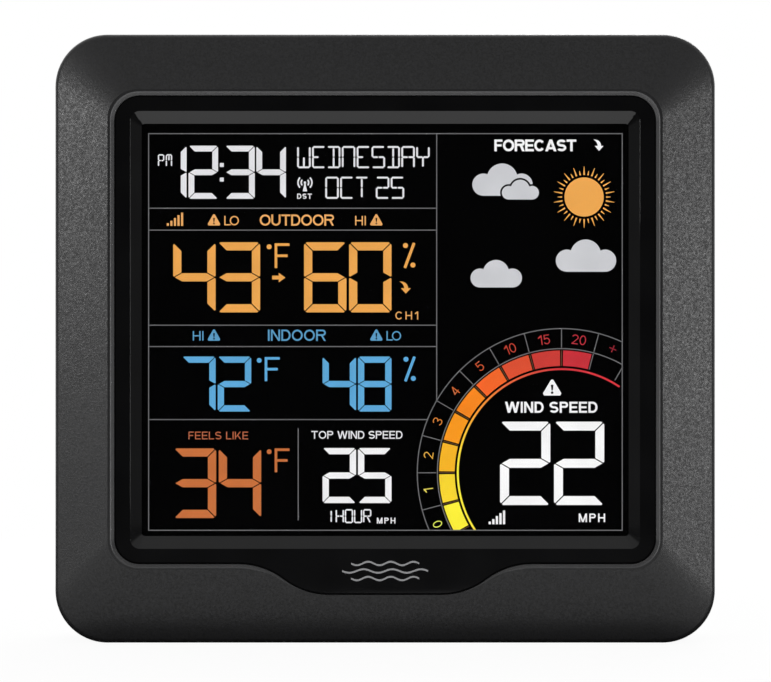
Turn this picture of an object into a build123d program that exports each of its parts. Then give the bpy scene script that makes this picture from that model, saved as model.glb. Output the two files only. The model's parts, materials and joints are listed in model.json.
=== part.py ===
"""Home weather station: a colour display console with a sloping bezel, a gloss surround,
a backlit liquid crystal display, three AA cells, six keys on the back and a fold-out desk stand.

Millimetres. X runs to the right of somebody who reads the display, Z runs up from the surface
that the console stands on, and Y runs from the front to the back. The origin is at the middle
of the base, half way between the front lip and the back face.
"""

from build123d import *
from math import cos, pi, radians, sin, tan
import os

os.makedirs("parts", exist_ok=True)

# ---------------------------------------------------------------- case
WIDTH, HEIGHT = 185.0, 170.6
FRONT, BACK = -16.0, 16.0  # depth of the bezel's lip and of the flat back
CORNER = 14.6
WALL = 2.2
EDGE = -12.3  # depth where the sloping band meets the side wall
PARTING = 1.5  # depth where the bezel meets the rear cover
EDGE_ROUND = 1.5
BACK_ROUND = 5.0
LIP = {"x": 77.4, "z": (20.9, 154.8), "corner": 8.2}  # top of the sloping band
COVER_INSET = 1.0  # the rear cover is this much smaller than the bezel all round
LAP = 2.2  # how far the cover's locating rim reaches into the bezel
RIM_THICK = 1.2  # wall of that rim
FIT = 0.15
BAND_THICK = 2.4  # the sloping band's wall along Y, so a little less square to its face

# ---------------------------------------------------------------- surround and window
SURROUND_X, SURROUND_Z, SURROUND_CORNER = 75.6, (22.4, 153.15), 7.0
TONGUE_LOW, TONGUE_FLAT, TONGUE_SHOULDER = 13.8, 15.6, 41.0
SURROUND_FACE, SURROUND_BACK = -14.5, -12.0
BEVEL_DEPTH = 2.2
SURROUND_GAP = 0.1
SURROUND_CHAMFER = 0.45
RIM_FOOT, RIM_DRAFT = -14.9, 36.0  # where the rim round the surround starts to lean outward
CREST_ROUND = 0.6  # rounding between that rim and the bezel's foremost line
BEVEL = {"x": 71.2, "z": (26.6, 148.9), "corner": 2.7}
BEVEL_ROUND = 0.12  # between the bevel and the surround's face
OPENING = {"x": 68.2, "z": (30.0, 145.5), "corner": 0.9}
LEDGE_BACK, LEDGE_WIDTH = -10.8, 1.8  # the bezel's shelf that carries the surround
WINDOW = {"x": (-71.6, 71.6), "z": (26.6, 148.9), "y": (-12.0, -10.9)}
WINDOW_POCKET_X, WINDOW_POCKET_Z = (-73.4, 73.4), (25.0, 150.9)

# ---------------------------------------------------------------- display stack, front to back
GLASS_X, GLASS_Z = (-70.5, 70.5), (27.5, 149.5)
REAR_GLASS_TOP = 145.8  # the rear glass stops short of the contacts along the top
FILM_X, FILM_Z = (-69.5, 69.5), (28.5, 145.0)
TAPE = (-10.9, -10.3)
TAPE_OUT = {"x": (-70.2, 70.2), "z": (27.9, 147.9)}
TAPE_IN = {"x": (-68.7, 68.7), "z": (29.5, 146.0)}
FRONT_POLARISER = (-10.3, -10.1)
FRONT_GLASS = (-10.1, -9.1)
REAR_GLASS = (-9.1, -8.1)
REAR_POLARISER = (-8.1, -7.9)
COLOUR_FILM = (-7.9, -7.7)
DIFFUSER = (-7.7, -7.4)
LIGHT_GUIDE = (-7.4, -4.6)
REFLECTOR = (-4.6, -4.4)
TRAY = {"x": 75.0, "z": (24.0, 153.0), "y": (-10.7, -3.0)}
TRAY_WALL = 1.4
LED_X, LED_LOW_Z, LED_PITCH, LED_COUNT = (67.0, 68.9), 41.0, 11.5, 9
CONTACT_Z = (146.6, 149.0)  # rubber connector on the display's upper ledge

# ---------------------------------------------------------------- main board
BOARD = (-2.4, -0.8)
BOARD_COLUMN_X, BOARD_Z = (36.0, 77.0), (23.0, 153.4)
BOARD_ARM_X, BOARD_ARM_LOW = (-70.0, 40.0), 139.5  # the arm along the top, under the display's contacts
CHIP_X, CHIP_Z, CHIP_PINS, PIN_PITCH = 46.0, 88.0, 10, 0.9
KEY_NAMES = ("clock", "plus", "minus", "wind", "alert", "light")
KEY_X, KEY_TOP_Z, KEY_PITCH = 62.0, 136.0, 14.0
KEY_Z = [KEY_TOP_Z - KEY_PITCH * i for i in range(len(KEY_NAMES))]
KEY_SIZE = (11.0, 7.0)
KEY_PANEL_DEPTH = 1.0
KEY_INSET = 0.2  # from the cover's face down to a key's face
SWITCH_TOP = 2.7
PLUNGER = (1.4, 4.4)
JACK = (62.0, 34.0)
BUZZER = (46.0, 62.0)
VENT_X, VENT_Z, VENT_COUNT, VENT_PITCH = -62.0, 110.0, 7, 3.6

# ---------------------------------------------------------------- fasteners
CASE_PILOT, INNER_PILOT = 1.25, 0.95  # radii of the holes that the screws cut their threads in
CASE_SHANK, INNER_SHANK = 1.2, 0.9
CASE_HEAD, CASE_WELL_RADIUS, CASE_SEAT = 2.8, 3.3, 6.0
CASE_SCREWS = [(x, z) for x in (-82.0, 82.0) for z in (12.0, HEIGHT / 2, HEIGHT - 12.0)]
TRAY_SCREWS = [(x, z) for x in (-60.0, 60.0) for z in (19.8, 157.2)]
BOARD_SCREWS = [(72.9, 32.0), (72.9, 92.0), (72.9, 151.4), (-66.0, 151.4)]

# ---------------------------------------------------------------- batteries
CELL_RADIUS, CELL_LENGTH, CELL_Y = 7.2, 50.5, 6.5
CELL_Z = (95.0, 110.0, 125.0)
BAY_X, BAY_Z, BAY_FLOOR = 29.5, (87.0, 133.0), -0.9
DOOR_X, DOOR_Z, DOOR_THICK = 32.0, (85.0, 135.0), 2.0
DOOR_GAP = 0.2
HOOK_X, HOOK_WIDTH = 18.0, 8.0
PLATE = 0.4  # sheet metal of the contacts

# ---------------------------------------------------------------- stand
HINGE_Y, HINGE_Z = 14.0, 74.0
RECESS_X, RECESS_TOP, RECESS_FLOOR = 33.0, 78.0, 11.6
LEG_X, LEG_LOW, LEG_FRONT = 32.6, 1.8, 13.0
HEEL = 1.25  # how far the leg reaches above its pin, to stop against the recess floor
BARREL_RADIUS, PIN_RADIUS = 2.0, 1.25
FOOT_X, FOOT_HEIGHT = 22.0, 4.2
PAD_X, PAD_HALF, PAD_Y, PAD_DEPTH = 60.0, 12.0, (4.0, 11.0), 1.6  # rubber pads under the base

# ---------------------------------------------------------------- keyhole on the back
HANGER_Z, HANGER_RADIUS, HANGER_SLOT, HANGER_TOP = 149.0, 4.2, 4.4, 156.0


def at_y(y):
    """The upright plane at depth y, which faces the front: its own x and y are X and Z."""
    return Plane.XZ.offset(-y)


def panel(x, y, z, corner=0.0, mode=Mode.ADD):
    """A plate between three pairs of limits, with rounded corners when seen from the front."""
    size = (x[1] - x[0], z[1] - z[0])
    with BuildSketch(at_y(y[1])) as outline:
        with Locations(((x[0] + x[1]) / 2, (z[0] + z[1]) / 2)):
            if corner:
                RectangleRounded(*size, corner)
            else:
                Rectangle(*size)
    extrude(outline.sketch, amount=y[1] - y[0], mode=mode)


def discs(points, radius, y, mode=Mode.ADD):
    """Round bosses or holes along Y at (x, z) points."""
    with BuildSketch(at_y(y[1])) as outline:
        with Locations(*points):
            Circle(radius)
    extrude(outline.sketch, amount=y[1] - y[0], mode=mode)


def slots(points, size, y, mode=Mode.ADD):
    """Oval bosses or holes along Y at (x, z) points."""
    with BuildSketch(at_y(y[1])) as outline:
        with Locations(*points):
            SlotOverall(*size)
    extrude(outline.sketch, amount=y[1] - y[0], mode=mode)


def rod(x, y, z, radius, mode=Mode.ADD):
    """A cylinder along X between the limits x."""
    with BuildSketch(Plane.YZ.offset(x[0])) as outline:
        with Locations((y, z)):
            Circle(radius)
    extrude(outline.sketch, amount=x[1] - x[0], mode=mode)


def frustum(low, y_low, high, y_high, mode=Mode.ADD):
    """Straight-sided loft between two rounded rectangles at two depths."""
    sections = []
    for shape, y in ((low, y_low), (high, y_high)):
        z = shape["z"]
        with BuildSketch(at_y(y)) as section:
            with Locations((0, (z[0] + z[1]) / 2)):
                RectangleRounded(2 * shape["x"], z[1] - z[0], shape["corner"])
        sections.append(section.sketch)
    loft(sections, ruled=True, mode=mode)


def outer_shape(inset):
    """The case's outline, smaller all round by inset."""
    return {"x": WIDTH / 2 - inset, "z": (inset, HEIGHT - inset), "corner": CORNER - inset}


def surround_plate(y, grow=0.0, mode=Mode.ADD, taper=0.0):
    """A plate with the surround's outline: a rounded rectangle with a shallow tongue below."""
    step = (SURROUND_Z[0] - TONGUE_LOW) / 2
    middle = ((TONGUE_FLAT + TONGUE_SHOULDER) / 2, TONGUE_LOW + step)
    with BuildSketch(at_y(y[1])) as outline:
        with BuildLine():
            Line((0, TONGUE_LOW), (TONGUE_FLAT, TONGUE_LOW))
            lower = TangentArc((TONGUE_FLAT, TONGUE_LOW), middle, tangent=(1, 0))
            TangentArc(middle, (TONGUE_SHOULDER, SURROUND_Z[0]), tangent=lower % 1)
            FilletPolyline(
                (TONGUE_SHOULDER, SURROUND_Z[0]),
                (SURROUND_X, SURROUND_Z[0]),
                (SURROUND_X, SURROUND_Z[1]),
                (0, SURROUND_Z[1]),
                radius=SURROUND_CORNER,
            )
            mirror(about=Plane.YZ)
        make_face()
        if grow:
            offset(amount=grow)
    extrude(outline.sketch, amount=y[1] - y[0], mode=mode, taper=taper)


def screws(points, head, head_y, shank, tip_y):
    """Pan-head cross-recess screws along Y: the head sits at head_y and the shank ends at tip_y."""
    discs(points, head, head_y)
    discs(points, shank, (tip_y, head_y[0]))
    fillet(faces().filter_by(Axis.Y).group_by(Axis.Y)[-1].edges(), 0.4 * head / 2)
    arm = (0.9 * head, 0.28 * head)
    for width, height in (arm, arm[::-1]):
        with BuildSketch(at_y(head_y[1])) as cross:
            with Locations(*points):
                Rectangle(width, height)
        extrude(cross.sketch, amount=0.8, mode=Mode.SUBTRACT)


def route_radii(points):
    """The arc at each inner point of a wire's route: as large as its two runs allow."""
    radii = []
    for before, here, after in zip(points, points[1:], points[2:]):
        first, second = Vector(*here) - Vector(*before), Vector(*after) - Vector(*here)
        turn = radians(first.get_angle(second))
        radii.append(0.45 * min(first.length, second.length) / tan(turn / 2))
    return radii


def wire(points, radius):
    """A round wire along straight runs joined by tangent arcs."""
    with BuildLine() as route:
        FilletPolyline(*points, radius=route_radii(points))
    with BuildSketch(Plane(origin=route.line @ 0, z_dir=route.line % 0)) as section:
        Circle(radius)
    sweep(section.sketch, path=route.line)


def save(builder, name):
    """Labels a finished piece and writes it."""
    builder.part.label = name
    export_step(builder.part, f"parts/{name}.step")


# ================================================================ bezel
with BuildPart() as bezel_envelope:
    frustum(outer_shape(0), EDGE, LIP, FRONT)
    panel((-WIDTH / 2, WIDTH / 2), (EDGE, PARTING), (0, HEIGHT), CORNER)
    rim = edges().filter_by(lambda e: abs(e.center().Y - EDGE) < 0.01)
    fillet(rim, EDGE_ROUND)

with BuildPart() as bezel_cavity:
    floor_y = EDGE + 0.7 * WALL
    inner = outer_shape(WALL)
    frustum(inner, floor_y, LIP, FRONT + BAND_THICK)
    panel((-inner["x"], inner["x"]), (floor_y, PARTING), inner["z"], inner["corner"])

with BuildPart() as bezel_shell:
    add(bezel_envelope.part)
    add(bezel_cavity.part, mode=Mode.SUBTRACT)

tray_floor = (TRAY["y"][1] - TRAY_WALL, TRAY["y"][1])
with BuildPart() as front_bezel:
    discs(CASE_SCREWS, 3.6, (FRONT, PARTING))
    discs(TRAY_SCREWS, 2.8, (FRONT, tray_floor[0]))
    surround_plate((-13.8, LEDGE_BACK), grow=LEDGE_WIDTH)
    add(bezel_envelope.part, mode=Mode.INTERSECT)
    add(bezel_shell.part)
    surround_plate((FRONT - 1, SURROUND_BACK), grow=SURROUND_GAP, mode=Mode.SUBTRACT)
    lean = {"grow": SURROUND_GAP, "taper": -RIM_DRAFT}
    surround_plate((FRONT - 0.4, RIM_FOOT), mode=Mode.SUBTRACT, **lean)
    level = edges().filter_by(lambda e: abs(e.center().Y - FRONT) < 0.01)
    crest = level.filter_by(lambda e: e.bounding_box().max.X < LIP["x"] - 0.2)
    crest = crest.filter_by(lambda e: e.bounding_box().min.X > 0.2 - LIP["x"])
    crest = crest.filter_by(lambda e: 21.0 < e.center().Z < LIP["z"][1] - 0.2)
    fillet(crest, CREST_ROUND)
    panel(WINDOW_POCKET_X, (SURROUND_BACK, LEDGE_BACK), WINDOW_POCKET_Z, 2.0, Mode.SUBTRACT)
    discs(CASE_SCREWS, CASE_PILOT, (-8.0, PARTING), Mode.SUBTRACT)
    discs(TRAY_SCREWS, INNER_PILOT, (-10.5, tray_floor[0]), Mode.SUBTRACT)
save(front_bezel, "front_bezel")

# ================================================================ gloss surround
with BuildPart() as gloss_surround:
    surround_plate((SURROUND_FACE, SURROUND_BACK))
    front_face = faces().filter_by(Axis.Y).sort_by(Axis.Y)[0]
    chamfer(front_face.outer_wire().edges(), SURROUND_CHAMFER)
    frustum(OPENING, SURROUND_FACE + BEVEL_DEPTH, BEVEL, SURROUND_FACE, Mode.SUBTRACT)
    front_face = faces().filter_by(Axis.Y).sort_by(Axis.Y)[0]
    fillet(front_face.inner_wires()[0].edges(), BEVEL_ROUND)
    panel(
        (-OPENING["x"], OPENING["x"]),
        (SURROUND_FACE, SURROUND_BACK),
        OPENING["z"],
        OPENING["corner"],
        Mode.SUBTRACT,
    )
save(gloss_surround, "gloss_surround")

# ================================================================ display stack
with BuildPart() as display_window:
    panel(WINDOW["x"], WINDOW["y"], WINDOW["z"], 2.0)
save(display_window, "display_window")

with BuildPart() as window_tape:
    panel(TAPE_OUT["x"], TAPE, TAPE_OUT["z"], 1.0)
    panel(TAPE_IN["x"], TAPE, TAPE_IN["z"], 0.8, Mode.SUBTRACT)
save(window_tape, "window_tape")

LAYERS = {
    "lcd_front_polariser": (FILM_X, FRONT_POLARISER, (28.5, 147.0)),
    "lcd_front_glass": (GLASS_X, FRONT_GLASS, GLASS_Z),
    "lcd_rear_glass": (GLASS_X, REAR_GLASS, (GLASS_Z[0], REAR_GLASS_TOP)),
    "lcd_rear_polariser": (FILM_X, REAR_POLARISER, FILM_Z),
    "colour_film": (FILM_X, COLOUR_FILM, FILM_Z),
    "diffuser_sheet": (FILM_X, DIFFUSER, FILM_Z),
    "light_guide": ((-66.8, 66.8), LIGHT_GUIDE, FILM_Z),
    "reflector_sheet": (FILM_X, REFLECTOR, FILM_Z),
}
for layer_name, (layer_x, layer_y, layer_z) in LAYERS.items():
    with BuildPart() as layer:
        panel(layer_x, layer_y, layer_z)
    save(layer, layer_name)

with BuildPart() as led_boards:
    for side in (-1, 1):
        panel(sorted((side * 68.9, side * 69.7)), (-7.2, -4.7), (35, 138))
save(led_boards, "led_boards")

with BuildPart() as backlight_leds:
    for side in (-1, 1):
        for i in range(LED_COUNT):
            z = LED_LOW_Z + LED_PITCH * i
            panel(sorted(side * x for x in LED_X), (-7.0, -5.0), (z - 1.5, z + 1.5))
save(backlight_leds, "backlight_leds")

with BuildPart() as backlight_tray:
    panel((-TRAY["x"], TRAY["x"]), TRAY["y"], TRAY["z"], 2.0)
    for x, z in TRAY_SCREWS:
        panel((x - 3.2, x + 3.2), tray_floor, sorted((z, min(max(z, 25), 152))))
    discs(TRAY_SCREWS, 3.2, tray_floor)
    discs(BOARD_SCREWS, 2.0, (TRAY["y"][1], BOARD[0]))
    panel((-70.8, 70.8), (TRAY["y"][0], REAR_GLASS[1]), (27.2, 149.8), mode=Mode.SUBTRACT)
    panel((-69.8, 69.8), (REAR_GLASS[1], REFLECTOR[1]), (28.2, 145.3), mode=Mode.SUBTRACT)
    panel((-67, 67), (REAR_GLASS[1], TRAY["y"][1]), (146.3, 149.3), mode=Mode.SUBTRACT)
    discs(TRAY_SCREWS, 1.2, tray_floor, Mode.SUBTRACT)
    discs(BOARD_SCREWS, INNER_PILOT, (-8.5, BOARD[0]), Mode.SUBTRACT)
save(backlight_tray, "backlight_tray")

with BuildPart() as zebra_connector:
    panel((-66, 66), (FRONT_GLASS[1], BOARD[0]), CONTACT_Z)
save(zebra_connector, "zebra_connector")

# ================================================================ main board and what is on it
TOP = BOARD[1]  # the component side faces the back
with BuildPart() as main_board:
    panel(BOARD_COLUMN_X, BOARD, BOARD_Z, 1.0)
    panel(BOARD_ARM_X, BOARD, (BOARD_ARM_LOW, BOARD_Z[1]), 1.0)
    discs(BOARD_SCREWS, 1.1, BOARD, Mode.SUBTRACT)
save(main_board, "main_board")

with BuildPart() as controller_chip:
    half, reach = 5.5, 6.0  # the body's half width and the middle of each pin
    body = [(c - half, c + half) for c in (CHIP_X, CHIP_Z)]
    panel(body[0], (TOP + 0.15, TOP + 1.5), body[1])
    chamfer(faces().sort_by(Axis.Y)[-1].edges(), 0.3)
    for i in range(CHIP_PINS):
        along = PIN_PITCH * (i - (CHIP_PINS - 1) / 2)
        for x, z, w, h in (
            (CHIP_X + along, CHIP_Z - reach, 0.4, 1.0),
            (CHIP_X + along, CHIP_Z + reach, 0.4, 1.0),
            (CHIP_X - reach, CHIP_Z + along, 1.0, 0.4),
            (CHIP_X + reach, CHIP_Z + along, 1.0, 0.4),
        ):
            panel((x - w / 2, x + w / 2), (TOP, TOP + 0.5), (z - h / 2, z + h / 2))
save(controller_chip, "controller_chip")

with BuildPart() as capacitors:
    for point, radius, height in (((46, 44), 3.2, 7), ((46, 34), 2.5, 6), ((42, 26), 2.5, 5)):
        discs([point], radius, (TOP, TOP + height))
    fillet(edges().filter_by(GeomType.CIRCLE).group_by(Axis.Y)[-1], 0.4)
save(capacitors, "capacitors")

with BuildPart() as clock_crystal:
    rod((42, 50), TOP + 1.5, 104, 1.5)
    fillet(edges(), 0.3)
save(clock_crystal, "clock_crystal")

with BuildPart() as radio_module:
    panel((39, 55), (TOP, TOP + 1.0), (112, 126))
save(radio_module, "radio_module")

with BuildPart() as radio_shield:
    panel((41, 52), (TOP + 1.0, TOP + 3.0), (114, 124), 0.6)
    fillet(faces().sort_by(Axis.Y)[-1].edges(), 0.3)
save(radio_shield, "radio_shield")

COIL_WIRE, COIL_RADIUS = 0.4, 2.5
with BuildPart() as radio_antenna:
    with BuildLine() as coil:
        Helix(
            pitch=2.0,
            height=14.0,
            radius=COIL_RADIUS,
            center=(47, TOP + COIL_WIRE + COIL_RADIUS, 128),
        )
    with BuildSketch(Plane(origin=coil.line @ 0, z_dir=coil.line % 0)):
        Circle(COIL_WIRE)
    sweep(is_frenet=True)
save(radio_antenna, "radio_antenna")

TIME_ROD_Y, TIME_ROD_Z, TIME_ROD_RADIUS = 5.5, 154.0, 4.0
with BuildPart() as time_antenna_rod:
    rod((-74, -22), TIME_ROD_Y, TIME_ROD_Z, TIME_ROD_RADIUS)
save(time_antenna_rod, "time_antenna_rod")

with BuildPart() as time_antenna_winding:
    rod((-60, -44), TIME_ROD_Y, TIME_ROD_Z, 5.2)
    fillet(edges(), 0.4)
    rod((-60, -44), TIME_ROD_Y, TIME_ROD_Z, TIME_ROD_RADIUS, Mode.SUBTRACT)
save(time_antenna_winding, "time_antenna_winding")

with BuildPart() as buzzer:
    discs([BUZZER], 6.0, (TOP, TOP + 8.5))
    fillet(edges().group_by(Axis.Y)[-1], 0.8)
    discs([BUZZER], 1.0, (TOP + 6.5, TOP + 8.5), Mode.SUBTRACT)
save(buzzer, "buzzer")

JACK_BACK = 13.4
with BuildPart() as dc_jack:
    x, z = JACK
    panel((x - 4.5, x + 4.5), (TOP, JACK_BACK), (z - 4.5, z + 4.5), 0.6)
    discs([JACK], 2.9, (3.4, JACK_BACK), Mode.SUBTRACT)
save(dc_jack, "dc_jack")

with BuildPart() as dc_jack_pin:
    discs([JACK], 1.0, (3.4, JACK_BACK - 1.0))
    fillet(edges().group_by(Axis.Y)[-1], 0.5)
save(dc_jack_pin, "dc_jack_pin")

with BuildPart() as tact_switches:
    for z in KEY_Z:
        panel((KEY_X - 3, KEY_X + 3), (TOP, SWITCH_TOP), (z - 3, z + 3), 0.4)
        discs([(KEY_X, z)], 1.8, (0.4, SWITCH_TOP), Mode.SUBTRACT)
save(tact_switches, "tact_switches")

# ================================================================ keys
COVER_INNER = BACK - WALL
for name, z in zip(KEY_NAMES, KEY_Z):
    with BuildPart() as key:
        slots([(KEY_X, z)], KEY_SIZE, (COVER_INNER - 0.3, BACK - KEY_INSET))
        fillet(faces().sort_by(Axis.Y)[-1].edges(), 0.6)
        slots([(KEY_X, z)], (13.0, 9.0), (COVER_INNER - 1.2, COVER_INNER - 0.3))
        discs([(KEY_X, z)], 2.0, (PLUNGER[1], COVER_INNER - 1.2))
    save(key, f"{name}_key")

    with BuildPart() as plunger:
        discs([(KEY_X, z)], 1.7, PLUNGER)
    save(plunger, f"{name}_switch_plunger")

# ================================================================ room sensor
SENSOR_BOARD = (9.2, 10.2)
with BuildPart() as sensor_board:
    panel((-72, -52), SENSOR_BOARD, (102, 118), 1.0)
save(sensor_board, "sensor_board")

with BuildPart() as humidity_sensor:
    panel((-64.5, -59.5), (SENSOR_BOARD[1], SENSOR_BOARD[1] + 1.6), (107.5, 112.5))
    discs([(VENT_X, VENT_Z)], 1.3, (SENSOR_BOARD[1] + 1.0, SENSOR_BOARD[1] + 1.6), Mode.SUBTRACT)
save(humidity_sensor, "humidity_sensor")

with BuildPart() as sensor_wires:
    for x in (-63.4, -62.0, -60.6):
        wire(
            [
                (x, SENSOR_BOARD[0], 113.0),
                (x, 6.2, 113.0),
                (x, 3.6, 118.0),
                (x, 3.2, 125.0),
                (x, 4.0, 132.0),
                (x, 3.4, 138.5),
                (x, 2.0, 142.0),
                (x, TOP, 142.0),
            ],
            0.5,
        )
save(sensor_wires, "sensor_wires")

# ================================================================ rear cover
cover = outer_shape(COVER_INSET)
with BuildPart() as cover_envelope:
    panel((-cover["x"], cover["x"]), (PARTING, BACK), cover["z"], cover["corner"])
    fillet(faces().sort_by(Axis.Y)[-1].edges(), BACK_ROUND)

hollow = outer_shape(COVER_INSET + WALL)
with BuildPart() as cover_cavity:
    panel((-hollow["x"], hollow["x"]), (PARTING, COVER_INNER), hollow["z"], hollow["corner"])
    fillet(faces().sort_by(Axis.Y)[-1].edges(), BACK_ROUND - WALL)

with BuildPart() as cover_shell:
    add(cover_envelope.part)
    add(cover_cavity.part, mode=Mode.SUBTRACT)

TUB_X, TUB_Z = 34.0, (83.0, 137.0)
with BuildPart() as rear_cover:
    # the stand's tub, the hanger's tub, bosses and ribs, all cut off at the cover's outline
    panel((-RECESS_X - 2.5, RECESS_X + 2.5), (RECESS_FLOOR - WALL, BACK), (0, RECESS_TOP + 2))
    panel((-11, 11), (7.4, BACK), (141, 161), 2.0)
    discs(CASE_SCREWS, 5.0, (PARTING, BACK))
    discs([(-68, 104), (-56, 116)], 1.8, (SENSOR_BOARD[1], BACK))
    for x in (-70.0, -27.0):
        panel((x - 0.8, x + 0.8), (TIME_ROD_Y, BACK), (147, 161))
    rod((-75, -21), TIME_ROD_Y, TIME_ROD_Z, TIME_ROD_RADIUS + 0.05, Mode.SUBTRACT)
    add(cover_envelope.part, mode=Mode.INTERSECT)
    add(cover_shell.part)

    # battery bay, which reaches forward of the cover's rim, so it comes after the cutting off; it has
    # a seat for its door, slots for the door's hooks and a finger scoop
    panel((-TUB_X, TUB_X), (BAY_FLOOR - 1.5, BACK), TUB_Z, 1.0)
    panel((-BAY_X, BAY_X), (BAY_FLOOR, BACK), BAY_Z, mode=Mode.SUBTRACT)
    seat_x = DOOR_X + DOOR_GAP
    seat_z = (DOOR_Z[0] - DOOR_GAP, DOOR_Z[1] + DOOR_GAP)
    panel((-seat_x, seat_x), (BACK - DOOR_THICK, BACK), seat_z, 1.7, Mode.SUBTRACT)
    for x in (-HOOK_X, HOOK_X):
        half = HOOK_WIDTH / 2 + 0.4
        panel((x - half, x + half), (11.3, BACK - DOOR_THICK), (82.6, 89.0), mode=Mode.SUBTRACT)
    slots([(0, DOOR_Z[1])], (20, 8), (BACK - 1.6, BACK), Mode.SUBTRACT)

    # slots through the bay's ends for the two solder tabs
    panel((-TUB_X, -BAY_X), (4.6, 5.8), (122.8, 127.2), mode=Mode.SUBTRACT)
    panel((BAY_X, TUB_X), (4.6, 5.8), (92.8, 97.2), mode=Mode.SUBTRACT)

    # stand recess, open at the bottom, and the bore for its pin
    panel((-RECESS_X, RECESS_X), (RECESS_FLOOR, BACK), (-1, RECESS_TOP), mode=Mode.SUBTRACT)
    rod((-RECESS_X - 2.5, RECESS_X + 2.5), HINGE_Y, HINGE_Z, PIN_RADIUS + 0.02, Mode.SUBTRACT)

    # keyhole hanger in front of its pocket
    panel((-9.5, 9.5), (9.0, COVER_INNER), (142.5, 159.5), 1.5, Mode.SUBTRACT)
    discs([(0, HANGER_Z)], HANGER_RADIUS, (COVER_INNER, BACK), Mode.SUBTRACT)
    slot_x = HANGER_SLOT / 2
    slot_z = (HANGER_Z, HANGER_TOP)
    panel((-slot_x, slot_x), (COVER_INNER, BACK), slot_z, mode=Mode.SUBTRACT)
    discs([(0, HANGER_TOP)], slot_x, (COVER_INNER, BACK), Mode.SUBTRACT)

    # keys, power inlet, vents and sounder holes
    key_panel_z = (KEY_Z[-1] - 8.0, KEY_Z[0] + 8.0)
    panel((KEY_X - 8, KEY_X + 8), (BACK - KEY_PANEL_DEPTH, BACK), key_panel_z, 7.9, Mode.SUBTRACT)
    key_holes = [(KEY_X, z) for z in KEY_Z]
    slots(key_holes, (KEY_SIZE[0] + 0.5, KEY_SIZE[1] + 0.5), (COVER_INNER, BACK), Mode.SUBTRACT)
    discs([JACK], 4.0, (COVER_INNER, BACK), Mode.SUBTRACT)
    discs([JACK], 6.0, (BACK - 0.8, BACK), Mode.SUBTRACT)
    for i in range(VENT_COUNT):
        x = VENT_X + VENT_PITCH * (i - (VENT_COUNT - 1) / 2)
        panel((x - 0.8, x + 0.8), (COVER_INNER, BACK), (VENT_Z - 11, VENT_Z + 11), 0.79, Mode.SUBTRACT)
    ring = [(BUZZER[0] + 3 * cos(i * pi / 3), BUZZER[1] + 3 * sin(i * pi / 3)) for i in range(6)]
    discs([BUZZER, *ring], 0.8, (COVER_INNER, BACK), Mode.SUBTRACT)

    # screw wells and foot recesses
    discs(CASE_SCREWS, CASE_WELL_RADIUS, (CASE_SEAT, BACK), Mode.SUBTRACT)
    discs(CASE_SCREWS, 1.6, (PARTING, CASE_SEAT), Mode.SUBTRACT)
    for x in (-PAD_X, PAD_X):
        panel((x - PAD_HALF, x + PAD_HALF), PAD_Y, (0, PAD_DEPTH), mode=Mode.SUBTRACT)

    # locating rim that slips inside the bezel
    rim_out, rim_in = outer_shape(WALL + FIT), outer_shape(WALL + FIT + RIM_THICK)
    with BuildSketch(at_y(PARTING + 0.8)) as rim_ring:
        for shape, rim_mode in ((rim_out, Mode.ADD), (rim_in, Mode.SUBTRACT)):
            with Locations((0, HEIGHT / 2)):
                size = (2 * shape["x"], shape["z"][1] - shape["z"][0])
                RectangleRounded(*size, shape["corner"], mode=rim_mode)
    extrude(rim_ring.sketch, amount=LAP)
save(rear_cover, "rear_cover")

for side, name in ((-1, "left"), (1, "right")):
    with BuildPart() as foot:
        x, half = PAD_X * side, PAD_HALF - 0.1
        panel((x - half, x + half), (PAD_Y[0] + 0.1, PAD_Y[1] - 0.1), (0, PAD_DEPTH))
        fillet(faces().sort_by(Axis.Z)[0].edges(), 0.4)
    save(foot, f"{name}_foot_pad")

# ================================================================ batteries and contacts
for i, z in enumerate(CELL_Z):
    toward = -1 if i % 2 == 0 else 1  # the side that the cell's positive button faces
    start = toward * (BAY_X - 0.9)
    body_end = start - toward * 1.2
    tail = start - toward * CELL_LENGTH
    with BuildPart() as cell:
        rod(sorted((body_end, tail)), CELL_Y, z, CELL_RADIUS)
        fillet(edges(), 0.8)
        rod(sorted((start, body_end)), CELL_Y, z, 2.7)
    save(cell, f"battery_{i + 1}")

SPRING_WIRE = 0.35
with BuildPart() as battery_springs:
    for i, z in enumerate(CELL_Z):
        away = 1 if i % 2 == 0 else -1
        cell_end = away * (CELL_LENGTH - BAY_X + 0.9)
        plate = away * (BAY_X - PLATE)
        length = abs(plate - cell_end) - 2 * SPRING_WIRE
        with BuildLine() as spring:
            Helix(
                pitch=length / 3,
                height=length,
                radius=3.4,
                center=(cell_end + away * SPRING_WIRE, CELL_Y, z),
                direction=(away, 0, 0),
            )
        with BuildSketch(Plane(origin=spring.line @ 0, z_dir=spring.line % 0)) as spring_section:
            Circle(SPRING_WIRE)
        sweep(spring_section.sketch, path=spring.line, is_frenet=True)
save(battery_springs, "battery_springs")

with BuildPart() as battery_contacts:
    for side in (-1, 1):
        plate = sorted((side * BAY_X, side * (BAY_X - PLATE)))
        pair = CELL_Z[:2] if side < 0 else CELL_Z[1:]
        single = CELL_Z[2] if side < 0 else CELL_Z[0]
        panel(plate, (1.0, 12.0), (pair[0] - 5, pair[1] + 5))
        panel(plate, (1.0, 12.0), (single - 5, single + 5))
        panel(sorted((side * BAY_X, side * (TUB_X + 2))), (5.0, 5.4), (single - 2, single + 2))
        for z in CELL_Z[0::2] if side < 0 else CELL_Z[1::2]:
            rod(sorted((side * (BAY_X - PLATE), side * (BAY_X - 0.9))), CELL_Y, z, 2.2)
save(battery_contacts, "battery_contacts")

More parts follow.
